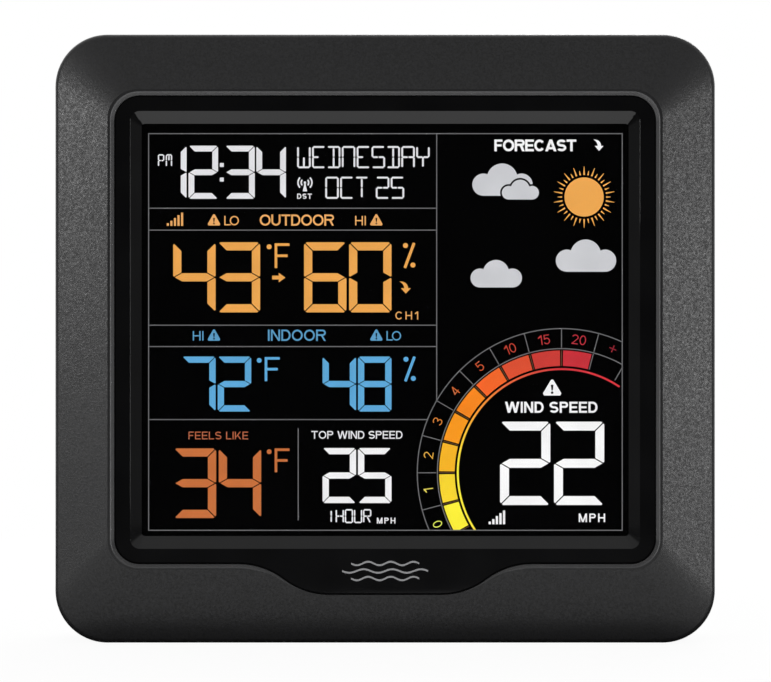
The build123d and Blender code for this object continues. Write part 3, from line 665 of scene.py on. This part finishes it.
def letter(character, thick):
    """(outlines, width) of a letter one unit tall."""
    t, w = thick, LETTER_WIDTH.get(character, thick)
    s = 1.12 * t  # level width of a slanting stroke

    def post(x, top=0.0, bottom=1.0):
        return rectangle(x, top, x + t, bottom)

    def beam(y, x0=0.0, x1=w):
        return rectangle(x0, y, x1, y + 0.94 * t)

    def slant(x_top, x_bottom, top=0.0, bottom=1.0):
        return [(x_top, top), (x_top + s, top), (x_bottom + s, bottom), (x_bottom, bottom)]

    def curve(y, tall, start, stop, steps=20):
        return bowl(w / 2, y, w / 2, tall, t, start, stop, steps)

    low, mid, centre = 1 - 0.94 * t, 0.5 - 0.47 * t, (w - s) / 2
    half = 0.25 + t / 4  # half the height of one bowl of an S, 3 or 8
    loop, flat = 0.56, w - 0.3  # height of the bowl of a P, and where it starts to turn
    hoop = [beam(0, 0, flat), beam(loop - t, 0, flat)]
    hoop.append(bowl(flat, loop / 2, 0.3, loop / 2, t, -90, 90))
    oval = [curve(0.5, 0.5, 0, 180), curve(0.5, 0.5, 180, 360)]
    turn = w - 0.42  # where a D starts to turn
    zigzag = ((0, 0.27), (centre, 0.27), (centre, 0.73), (w - s, 0.73))  # the ends of a W's strokes
    shapes = {
        "A": [slant(centre, 0), slant(centre, w - s), beam(0.64, 0.2 * w, 0.8 * w)],
        "C": [curve(0.5, 0.5, 38, 322, 36)],
        "D": [post(0), beam(0, 0, turn), beam(low, 0, turn), bowl(turn, 0.5, 0.42, 0.5, t, -90, 90)],
        "E": [post(0), beam(0), beam(mid, 0, 0.92 * w), beam(low)],
        "F": [post(0), beam(0), beam(mid, 0, 0.88 * w)],
        "H": [post(0), post(w - t), beam(mid)],
        "I": [post(0)],
        "K": [post(0), slant(w - 1.3 * s, 0.55 * t, 0, 0.72), slant(0.3 * w, w - s, 0.42, 1)],
        "L": [post(0), beam(low)],
        "M": [post(0), post(w - t), slant(0, centre), slant(w - s, centre)],
        "N": [post(0), post(w - t), slant(0, w - s)],
        "O": oval,
        "P": [post(0), *hoop],
        "R": [post(0), *hoop, slant(0.42 * w, w - s, loop - t, 1)],
        "S": [curve(half, half, -28, -270, 28), curve(1 - half, half, -90, 152, 28)],
        "T": [post((w - t) / 2), beam(0)],
        "U": [post(0, 0, 0.62), post(w - t, 0, 0.62), curve(0.6, 0.4, 0, 180)],
        "W": [slant(top, foot * w - s / 2) for top, foot in zigzag],
        "0": oval,
        "1": [post(w - t), [(w - t, 0), (w - t / 2, 0.3 * t), (w - t / 2, 0.2), (0, 0.34), (0, 0.21)]],
        "2": [curve(0.3, 0.3, -165, 25), slant(w - 1.25 * s, 0, 0.4, 0.95), beam(low)],
        "3": [curve(half, half, -160, 90), curve(1 - half, half, -90, 160)],
        "4": [post(0.66 * w), beam(0.64), slant(0.66 * w, 0, 0, 0.68)],
        "5": [beam(0, 0.1 * w, 0.94 * w), post(0.1 * w, 0, 0.5), curve(0.66, 0.34, -140, 155)],
        "+": [post((w - t) / 2, 0.17, 0.83), beam(mid)],
    }
    return shapes.get(character, []), w


def turned(outline, centre, angle):
    """The same outline, turned about centre."""
    (cx, cy), c, s = centre, cos(angle), sin(angle)
    return [(cx + (x - cx) * c - (y - cy) * s, cy + (x - cx) * s + (y - cy) * c) for x, y in outline]


def word(name, text, box, material, weight=0.15, turn=None):
    """Capitals that fill box = (x0, y0, x1, y1) on the layout, spaced out to its width.

    With turn = (centre, angle) the word is turned about centre.
    """
    x0, y0, x1, y1 = box
    tall = y1 - y0
    letters = [letter(character, weight) for character in text]
    spare = (x1 - x0) / tall - sum(width for _, width in letters)
    gap = spare / max(1, len(text) - 1)
    outlines, along = [], 0.0
    for shapes, width in letters:
        outlines += [[(x0 + tall * (along + u), y0 + tall * v) for u, v in shape] for shape in shapes]
        along += width + gap
    if turn:
        outlines = [turned(outline, *turn) for outline in outlines]
    draw(name, outlines, material)


# ---------------------------------------------------------------- icons
def alert_triangle(x, y, width, height):
    """(outline, cuts) of a warning triangle with an exclamation mark cut out of it."""
    nick = 0.12 * width
    outline = [
        (x + width / 2 - nick / 2, y),
        (x + width / 2 + nick / 2, y),
        (x + width, y + height - nick),
        (x + width - nick / 2, y + height),
        (x + nick / 2, y + height),
        (x, y + height - nick),
    ]
    centre, half = x + width / 2, 0.055 * width
    mark = [
        (centre - 1.3 * half, y + 0.32 * height),
        (centre + 1.3 * half, y + 0.32 * height),
        (centre + 0.7 * half, y + 0.68 * height),
        (centre - 0.7 * half, y + 0.68 * height),
    ]
    dot = disc((centre, y + 0.82 * height), 1.3 * half, 12)
    return outline, [mark, dot]


def signal_bars(x, base, pitch, width, heights):
    """Outlines of a row of bars that rise to the right."""
    return [
        rectangle(x + i * pitch, base - height, x + i * pitch + width, base)
        for i, height in enumerate(heights)
    ]


def in_box(outline, x, y, width, height):
    """An outline drawn in a unit square, fitted to a box."""
    return [(x + u * width, y + v * height) for u, v in outline]


FALLING_ARROW = (
    [(0.0, 0.0), (0.28, 0.02), (0.5, 0.1), (0.66, 0.24), (0.75, 0.42), (0.76, 0.56), (1.0, 0.56)]
    + [(0.56, 1.0), (0.14, 0.56), (0.42, 0.56), (0.4, 0.4), (0.3, 0.22), (0.16, 0.09)]
)
LEVEL_ARROW = [(0.0, 0.3), (0.5, 0.3), (0.5, 0.0), (1.0, 0.5), (0.5, 1.0), (0.5, 0.7), (0.0, 0.7)]


def meet(first, r1, second, r2):
    """The upper of the two points where two circles cross, with y down."""
    dx, dy = second[0] - first[0], second[1] - first[1]
    apart = hypot(dx, dy)
    along = (r1 * r1 - r2 * r2 + apart * apart) / (2 * apart)
    off = (r1 * r1 - along * along) ** 0.5
    ux, uy = dx / apart, dy / apart
    return (first[0] + along * ux + off * uy, first[1] + along * uy - off * ux)


def cloud(x, y, width, grow=0.0):
    """A cloud of three lobes on a flat base; x and y are its lower left corner."""
    side, crown = 0.184 * width, 0.255 * width
    left, right = (x + side, y - side), (x + width - side, y - side)
    top = (x + 0.495 * width, y - 0.535 * width + crown)
    side, crown = side + grow, crown + grow
    first, second = meet(left, side, top, crown), meet(top, crown, right, side)

    def angle(centre, point):
        return atan2(point[1] - centre[1], point[0] - centre[0]) * 180 / pi

    lobe_left = arc(left, side, 90, angle(left, first) % 360)
    lobe_top = arc(top, crown, angle(top, first) % 360, angle(top, second) % 360)
    lobe_right = arc(right, side, angle(right, second), 90)
    return lobe_left + lobe_top[1:] + lobe_right[1:]


def percent(x, y, height):
    """Outlines of a percent sign with solid dots."""
    width, dot = 0.49 * height, 0.1 * height
    return [
        stroke((x + 0.9 * width, y), (x + 0.14 * width, y + height), 0.11 * height, 0.1),
        disc((x + 0.2 * width, y + 0.11 * height), dot, 20),
        disc((x + 0.8 * width, y + 0.88 * height), dot, 20),
    ]


def fahrenheit(x, y, width, height):
    """Outlines of a degree dot and a thin F."""
    stem, thick = x + 1.55, 0.72
    return [
        disc((x, y + 0.14 * height), 0.1 * height, 20),
        rectangle(stem, y, stem + thick, y + height),
        rectangle(stem, y, stem + width, y + thick),
        rectangle(stem, y + 0.45 * height, stem + 0.87 * width, y + 0.45 * height + thick),
    ]


# ---------------------------------------------------------------- the left side of the display
def draw_lines():
    """The border, the level lines, the two upright dividers."""
    half = LINE / 2
    border = rectangle(-half, -half, PAPER_W + half, PAPER_H + half)
    hole = rectangle(half, half, PAPER_W - half, PAPER_H - half)
    draw("display_border", [border], GREY_LINE, [hole])
    level = [rectangle(half, y - half, DIVIDER - half, y + half) for y in ROWS[:-1]]
    reach = GAUGE[0] - (RING[0] ** 2 - (GAUGE[1] - ROWS[-1]) ** 2) ** 0.5
    level.append(rectangle(half, ROWS[-1] - half, reach, ROWS[-1] + half))
    foot = GAUGE[1] - (RING[0] ** 2 - (GAUGE[0] - DIVIDER) ** 2) ** 0.5
    upright = rectangle(DIVIDER - half, half, DIVIDER + half, foot)
    x, top, bottom = HALF_DIVIDER
    short = rectangle(x - half, top, x + half, bottom)
    draw("display_dividers", level + [upright, short], GREY_LINE)


def draw_clock():
    """Time of day, weekday, date and the radio clock's mark."""
    size, thick, top = (8.3, 14.9), 1.62, 3.4
    seven("time_hours", "12", 2.35, top, size, thick, 8.85, SOFT_WHITE)
    seven("time_minutes", "34", 21.5, top, size, thick, 8.75, SOFT_WHITE)
    colon = [rectangle(20.0, y - 0.55, 21.1, y + 0.55) for y in (8.8, 12.9)]
    half_day = fourteen("PM", 2.6, 5.8, (1.8, 3.5), 0.36, 2.2)
    draw("time_marks", colon + half_day, SOFT_WHITE)
    size, thick, pitch = (3.8, 6.2), 0.5, 4.18
    weekday = fourteen("WEDNESDAY", 41.7, 3.5, size, thick, pitch)
    month = fourteen("OCT", 49.6, 12.1, size, thick, pitch)
    day = fourteen("25", 63.8, 12.1, size, thick, pitch)
    draw("date_letters", weekday + month + day, SOFT_WHITE)
    x, y = 43.9, 13.75  # top of the radio mast
    tower = [(x - 0.1, y), (x + 0.1, y), (x + 0.62, 16.2), (x - 0.62, 16.2)]
    waves = [
        band((x, y), radius, radius + 0.42, middle - 45, middle + 45, 14)
        for radius in (0.85, 1.75)
        for middle in (0, 180)
    ]
    draw("radio_mark", [tower, disc((x, y), 0.36, 16), *waves], SOFT_WHITE)
    word("summer_time_word", "DST", (41.7, 16.85, 45.85, 18.3), SOFT_WHITE, 0.2)


def draw_row(name, top, bottom, words, material):
    """A title row with two warning triangles.

    Each word is (text, x0, x1, inset, weight), inset being how far below the top of the title it starts.
    """
    for text, x0, x1, inset, weight in words:
        label = f"{name}_{text.lower()}_word"
        word(label, text, (x0, top + inset, x1, bottom - inset / 4), material, weight)
    outlines, cuts = [], []
    for x in (16.6, 62.2):
        outline, holes = alert_triangle(x, top - 0.05, 3.5, bottom - top)
        outlines.append(outline)
        cuts += holes
    draw(f"{name}_alerts", outlines, material, cuts)


def draw_outdoor():
    """Outdoor temperature and humidity."""
    low, high = ("LO", 21.25, 25.35, 0.4, 0.13), ("HI", 58.0, 61.0, 0.4, 0.13)
    title = ("OUTDOOR", 31.2, 52.05, 0.0, 0.16)
    draw_row("outdoor", 22.7, 25.85, (low, title, high), AMBER_WORD)
    bars = signal_bars(5.1, 25.9, 1.0, 0.58, (0.75, 1.42, 2.2, 3.0, 3.7))
    draw("outdoor_signal", bars, AMBER_WORD)
    size, thick, top = (11.9, 19.7), 2.3, 30.5
    seven("outdoor_temperature", "43", 6.9, top, size, thick, 12.5, AMBER)
    seven("outdoor_humidity", "60", 43.65, top, size, thick, 12.65, AMBER)
    marks = fahrenheit(33.85, 30.8, 4.15, 6.95) + percent(71.45, 30.65, 7.1)
    marks.append(in_box(LEVEL_ARROW, 34.7, 39.1, 3.7, 2.65))
    marks.append(in_box(FALLING_ARROW, 70.4, 41.5, 3.25, 3.4))
    draw("outdoor_marks", marks, AMBER)
    word("outdoor_channel_word", "CH1", (69.3, 49.95, 75.7, 52.2), AMBER_WORD, 0.14)


def draw_indoor():
    """Indoor temperature and humidity."""
    high, low = ("HI", 12.4, 15.4, 0.4, 0.13), ("LO", 66.8, 70.9, 0.4, 0.13)
    title = ("INDOOR", 33.5, 49.75, 0.0, 0.15)
    draw_row("indoor", 55.05, 58.2, (high, title, low), BLUE_WORD)
    size, thick, top = (9.4, 15.45), 1.75, 62.6
    seven("indoor_temperature", "72", 9.4, top, size, thick, 10.0, BLUE)
    seven("indoor_humidity", "48", 48.85, top, size, thick, 9.95, BLUE)
    marks = fahrenheit(31.05, 62.75, 4.2, 6.75) + percent(71.6, 62.6, 7.0)
    draw("indoor_marks", marks, BLUE)


def draw_feels_like():
    """Felt temperature and the last hour's strongest wind."""
    word("feels_like_words", "FEELS LIKE", (11.2, 83.7, 27.95, 85.85), RUST_WORD, 0.135)
    seven("felt_temperature", "34", 7.05, 88.4, (11.9, 19.55), 2.3, 12.65, RUST)
    draw("felt_marks", fahrenheit(33.85, 88.4, 4.15, 6.7), RUST)
    word("top_wind_words", "TOP WIND SPEED", (45.7, 83.5, 71.3, 85.7), SOFT_WHITE, 0.155)
    seven("top_wind_figures", "25", 48.85, 88.3, (9.4, 15.45), 1.75, 9.95, WHITE)
    hour = fourteen("1", 50.1, 105.45, (2.35, 3.95), 0.4, 2.57)
    hour += fourteen("HOUR", 52.5, 105.45, (2.35, 3.95), 0.4, 2.57)
    draw("top_wind_hour", hour, SOFT_WHITE)
    word("top_wind_unit", "MPH", (64.1, 107.85, 69.3, 109.5), SOFT_WHITE, 0.2)


# ---------------------------------------------------------------- the right side of the display
def draw_forecast():
    """Title, sun and clouds."""
    word("forecast_word", "FORECAST", (97.1, 1.65, 120.1, 4.95), WHITE, 0.205)
    draw("forecast_trend", [in_box(FALLING_ARROW, 124.9, 1.65, 2.85, 3.2)], WHITE)
    centre, rays, count = (122.3, 17.8), [], 36
    for i in range(count):  # every other ray is a short one
        angle = tau * i / count
        inner, outer = 6.2, 8.65 if i % 2 == 0 else 7.45
        along, across = (sin(angle), -cos(angle)), (cos(angle), sin(angle))
        ray = []
        for reach, side in ((inner, -0.24), (outer, -0.06), (outer, 0.06), (inner, 0.24)):
            ray.append(tuple(c + reach * a + side * s for c, a, s in zip(centre, along, across)))
        rays.append(ray)
    draw("forecast_sun", [disc(centre, 5.5, 72), *rays], AMBER)
    front = (99.2, 18.5, 10.4)
    draw("forecast_cloud_back", [cloud(90.9, 17.45, 16.95)], CLOUD_GREY, [cloud(*front, 0.5)])
    draw("forecast_cloud_front", [cloud(*front)], CLOUD_GREY)
    draw("forecast_cloud_right", [cloud(114.35, 38.8, 16.95)], CLOUD_GREY)
    draw("forecast_cloud_left", [cloud(90.4, 43.2, 14.45)], CLOUD_GREY)


GAUGE = (115.95, 95.25)  # centre of the wind dial
RING = (40.5, 34.85)  # outer and inner line of the ring of numbers
BLOCKS = (34.35, 30.0)  # outer and inner edge of the coloured blocks
RIM = (29.4, 28.85)  # the coloured line inside them
STEP = 15.0  # degrees for each number
FIRST = -30.0  # degrees below the left horizontal where the scale starts
BEFORE, AFTER = 12.0, 4.0  # degrees that the lines run on at the scale's two ends
BLOCK_GAP = 0.75  # degrees at each end of a block
SCALE = ("0", "1", "2", "3", "4", "5", "10", "15", "20", "+")
NUMBER_COLOURS = (
    (222, 228, 92), (224, 208, 88), (224, 168, 62), (208, 124, 48), (202, 100, 46),
    (196, 80, 42), (186, 62, 46), (184, 52, 54), (184, 46, 58), (140, 32, 46),
)
BLOCK_COLOURS = (  # the last number has no block
    (253, 240, 52), (247, 213, 42), (245, 180, 30), (246, 152, 20), (243, 134, 22),
    (240, 100, 34), (218, 76, 44), (200, 57, 50), (198, 44, 54),
)
PAGE = rectangle(0.2, 0.2, PAPER_W - LINE / 2 - 0.02, PAPER_H - LINE / 2 - 0.02)  # cuts the dial off


def dial_angle(step):
    """Where a step of the scale starts, as an angle on the layout, in degrees."""
    return 180 + (FIRST + STEP * step)


def on_dial(radius, step):
    """The point at this radius where a step of the scale starts."""
    angle = radians(dial_angle(step))
    return (GAUGE[0] + radius * cos(angle), GAUGE[1] + radius * sin(angle))


def ring(outer, inner):
    """A ring that runs the length of the scale and a little further."""
    return band(GAUGE, inner, outer, dial_angle(0) - BEFORE, dial_angle(len(SCALE)) + AFTER, 120)


def rim_material():
    """The rim's colour, which runs from yellow at the foot of the scale to red at its end."""
    shader = Shader("lit_rim")
    place = shader.split(shader.place)
    x, z = LAYOUT_CORNER[0] + GAUGE[0] * MM, LAYOUT_CORNER[1] - GAUGE[1] * MM
    across = shader.span(place["X"], 0.0, 1.0, x - RIM[0] * MM, x + 8 * MM)
    up = shader.span(place["Z"], 0.0, 1.0, z, LAYOUT_CORNER[1] - 60 * MM)
    colour = shader.gradient(
        shader.number("MULTIPLY", shader.number("ADD", across, up), 0.5),
        (0.0, srgb(250, 236, 60)),
        (0.3, srgb(238, 154, 50)),
        (0.52, srgb(222, 98, 54)),
        (0.8, srgb(204, 50, 58)),
    )
    shader.set(Base_Color=(0, 0, 0, 1), Roughness=0.4, Emission_Color=colour, Emission_Strength=1.0)
    return shader.material


def draw_dial():
    """The wind dial: ring lines, spokes, coloured blocks with fine lines between, rim and numbers."""
    for name, radius in (("dial_outer_line", RING[0]), ("dial_inner_line", RING[1])):
        draw(name, [ring(radius + LINE / 2, radius - LINE / 2)], GREY_LINE, clip=PAGE)
    spokes = []
    for i in range(1, len(SCALE) + 1):
        inner = BLOCKS[1] if i >= len(SCALE) - 1 else RING[1]
        spokes.append(stroke(on_dial(inner, i), on_dial(RING[0] - LINE / 2, i), LINE * 0.9, 0.0))
    draw("dial_spokes", spokes, GREY_LINE, [ring(RING[1] + LINE, RING[1] - LINE)], PAGE)
    fine = [
        stroke(on_dial(BLOCKS[1], i), on_dial(BLOCKS[0], i), LINE * 0.8, 0.0)
        for i in range(len(BLOCK_COLOURS))
    ]
    draw("dial_gap_lines", fine, GAP_LINE, clip=PAGE)
    for i, levels in enumerate(BLOCK_COLOURS):
        start = dial_angle(i) + BLOCK_GAP
        block = band(GAUGE, BLOCKS[1], BLOCKS[0], start, start + STEP - 2 * BLOCK_GAP)
        draw(f"dial_block_{i}", [block], lit(f"scale_{i}", *levels), clip=PAGE)
    draw("dial_rim", [ring(*RIM)], rim_material(), clip=PAGE)
    for i, (text, levels) in enumerate(zip(SCALE, NUMBER_COLOURS)):
        x, y = on_dial((RING[0] + RING[1]) / 2, i + 0.5)
        tall = 3.1 if text == "+" else 2.7
        wide = tall * (sum(LETTER_WIDTH[character] for character in text) + 0.14 * (len(text) - 1))
        box = (x - wide / 2, y - tall / 2, x + wide / 2, y + tall / 2)
        turn = ((x, y), radians(dial_angle(i + 0.5)) + pi / 2)
        label = "plus" if text == "+" else text
        word(f"dial_number_{label}", text, box, lit(f"number_{i}", *levels), 0.1, turn)


def draw_wind():
    """Wind speed inside the dial."""
    outline, cuts = alert_triangle(110.75, 69.1, 5.15, 4.45)
    draw("wind_alert", [outline], WHITE, cuts)
    word("wind_words", "WIND SPEED", (100.1, 75.3, 126.05, 78.4), WHITE, 0.19)
    seven("wind_figures", "22", 98.7, 80.9, (14.1, 23.4), 2.5, 15.15, BRIGHT)
    bars = signal_bars(95.5, 109.7, 1.0, 0.62, (0.75, 1.42, 2.3, 3.1, 3.85))
    draw("wind_signal", bars, WHITE)
    word("wind_unit", "MPH", (120.8, 106.7, 128.2, 109.1), WHITE, 0.17)


draw_lines()
draw_clock()
draw_outdoor()
draw_indoor()
draw_feels_like()
draw_forecast()
draw_dial()
draw_wind()


# ================================================================ marks printed on the plastic
PRINT_GREY = moulded("print_grey", srgb(158, 158, 160), 0.5, 0.2 * MM, 0.005 * MM, 0.05).material
KEY_PRINT = moulded("key_print", srgb(196, 196, 198), 0.6, 0.2 * MM, 0.005 * MM, 0.05).material
MARK_Z = 20.4 * MM  # middle of the mark on the surround's tongue
SINK = 0.01 * MM  # how far the back of a mark is sunk into the plastic


def front_at(node, x, z):
    """The y of the front of a CAD part at this x and z."""
    mesh = nodes[node].data
    surface = BVHTree.FromPolygons([v.co for v in mesh.vertices], [f.vertices[:] for f in mesh.polygons])
    return surface.ray_cast(Vector((x, -1.0, z)), Vector((0, 1, 0)))[0].y


def wave(x, y, length, swing, ripples, thick, steps=48):
    """Outline of a wavy line that starts at x and keeps its middle at y."""
    parts = [i / steps for i in range(steps + 1)]
    centres = [(x + length * part, y + swing * sin(tau * ripples * part)) for part in parts]
    above = [(u, v - thick / 2) for u, v in centres]
    return above + [(u, v + thick / 2) for u, v in reversed(centres)]


def draw_tongue_mark():
    """Three ripples of wind on the tongue."""
    above, below = (front_at("gloss_surround", 0.0, MARK_Z + side * 3 * MM) for side in (1, -1))
    lean = (above - below) / (6 * MM)

    def place(x, y, near):
        front = (above + below) / 2 - y * MM * lean
        return (x * MM, front + (-INK if near else SINK), MARK_Z - y * MM)

    rows = ((-2.1, 19.0), (0.0, 24.0), (2.1, 19.0))  # where each ripple lies, and its length
    ripples = [wave(-length / 2, y, length, 0.5, 3, 0.5) for y, length in rows]
    triangles, points = region(ripples)
    solid("tongue_ripples", triangles, points, place, PRINT_GREY, "console")


def key_icons():
    """(outlines, cuts) of each key's icon, in mm from the middle of the key."""
    turns = [tau * i / 8 for i in range(8)]
    rays = [stroke((1.15 * cos(a), 1.15 * sin(a)), (1.85 * cos(a), 1.85 * sin(a)), 0.3) for a in turns]
    triangle, mark = alert_triangle(-2.1, -1.9, 4.2, 3.6)
    hands = [stroke((0, 0), (0, -1.2), 0.3), stroke((0, 0), (0.85, 0.45), 0.3)]
    dial = [band((0, 0), 1.55, 1.9, 0, 180, 30), band((0, 0), 1.55, 1.9, 180, 360, 30)]
    across, up = rectangle(-1.6, -0.25, 1.6, 0.25), rectangle(-0.25, -1.6, 0.25, 1.6)
    return {
        "clock": ([*dial, *hands], ()),
        "plus": ([across, up], ()),
        "minus": ([across], ()),
        "wind": ([wave(-2.4, y, 4.8, 0.28, 1.5, 0.36) for y in (-1.0, 0.0, 1.0)], ()),
        "alert": ([triangle], mark),
        "light": ([disc((0, 0), 0.8, 32), *rays], ()),
    }


def draw_key_icons():
    """An icon on each of the keys on the back, the right way up for someone behind the console."""
    for name, (outlines, cuts) in key_icons().items():
        low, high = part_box(f"{name}_key")
        middle = (low + high) / 2

        def place(x, y, near):
            back = high.y + (INK if near else -SINK)
            return (middle.x - x * MM, back, middle.z - y * MM)

        triangles, points = region(outlines, cuts)
        solid(f"{name}_icon", triangles, points, place, KEY_PRINT, f"{name}_button")


draw_tongue_mark()
draw_key_icons()


# ================================================================ light and floor
def pale_floor():
    """A pale round floor. The camera sees it lit evenly; to everything else it is a dim grey."""
    shader = Shader("studio_floor")
    mottle = shader.noise(0.3, 2.0)
    seen = shader.node("ShaderNodeLightPath").outputs["Is Camera Ray"]
    shader.set(
        Base_Color=shader.tint(mottle, (0.05, 0.05, 0.05, 1), (0.06, 0.06, 0.06, 1)),
        Roughness=0.9,
        Specular_IOR_Level=0.0,
        Emission_Color=(1.0, 1.0, 1.0, 1.0),
        Emission_Strength=shader.span(seen, 0.0, 0.94, 0.0, 1.0),
    )
    mesh = bmesh.new()
    bmesh.ops.create_circle(mesh, cap_ends=True, segments=96, radius=0.4)
    floor = in_scene("studio_floor", mesh, shader.material)


AIM = Vector((0, 0, 0.085))  # near the object's middle
CARD_Z = 0.5 * MM  # just above the floor


def area_light(name, place, turn, size, radiance):
    """A glowing rectangle that the camera doesn't see."""
    data = bpy.data.lights.new(name, "AREA")
    data.shape = "RECTANGLE"
    data.size, data.size_y = size
    data.energy = radiance * pi * size[0] * size[1]
    light = bpy.data.objects.new(name, data)
    light.location = place
    light.rotation_euler = turn
    light.visible_camera = False
    scene.collection.objects.link(light)


def softbox(name, azimuth, elevation, distance, size, radiance):
    """A light that faces the object. Azimuth 0 is straight in front of it and 90 is to its right."""
    a, e = radians(azimuth), radians(elevation)
    away = Vector((sin(a) * cos(e), -cos(a) * cos(e), sin(e)))
    turn = (-away).to_track_quat("-Z", "Y").to_euler()
    area_light(name, AIM + distance * away, turn, size, radiance)


def card(name, y, size, radiance):
    """A light that lies on the floor and shines up."""
    area_light(name, (0, y, CARD_Z), (pi, 0, 0), size, radiance)


def studio_world():
    """White to the camera. As light: dark in front of the display, brighter above and behind."""
    world = bpy.data.worlds.new("studio")
    world.use_nodes = True
    scene.world = world
    world.node_tree.nodes.clear()
    sky = Nodes(world.node_tree)
    towards = sky.split(sky.node("ShaderNodeTexCoord").outputs["Generated"])
    above = sky.span(towards["Z"], 0.03, 0.44, 0.06, 0.52, "SMOOTHSTEP")
    behind = sky.span(towards["Y"], 0.0, 0.9, -0.72, 0.7, "SMOOTHSTEP")
    light = sky.node("ShaderNodeBackground", Color=(1, 1, 1, 1), Strength=sky.number("ADD", above, behind))
    backdrop = sky.node("ShaderNodeBackground", Color=(1, 1, 1, 1), Strength=1.0)
    seen = sky.node("ShaderNodeLightPath").outputs["Is Camera Ray"]
    mix = sky.node("ShaderNodeMixShader", seen, light.outputs["Background"], backdrop.outputs["Background"])
    sky.node("ShaderNodeOutputWorld", Surface=mix.outputs["Shader"])


pale_floor()
studio_world()
softbox("left_softbox", -42, 9.5, 1.4, (0.32, 0.26), 17.0)
softbox("right_softbox", 41, 1, 1.4, (0.34, 0.34), 10.8)
softbox("back_softbox", 160, 32, 1.5, (0.9, 0.7), 5.0)
card("near_card", -0.053, (0.3, 0.056), 0.5)
card("far_card", -0.116, (0.44, 0.068), 1.05)
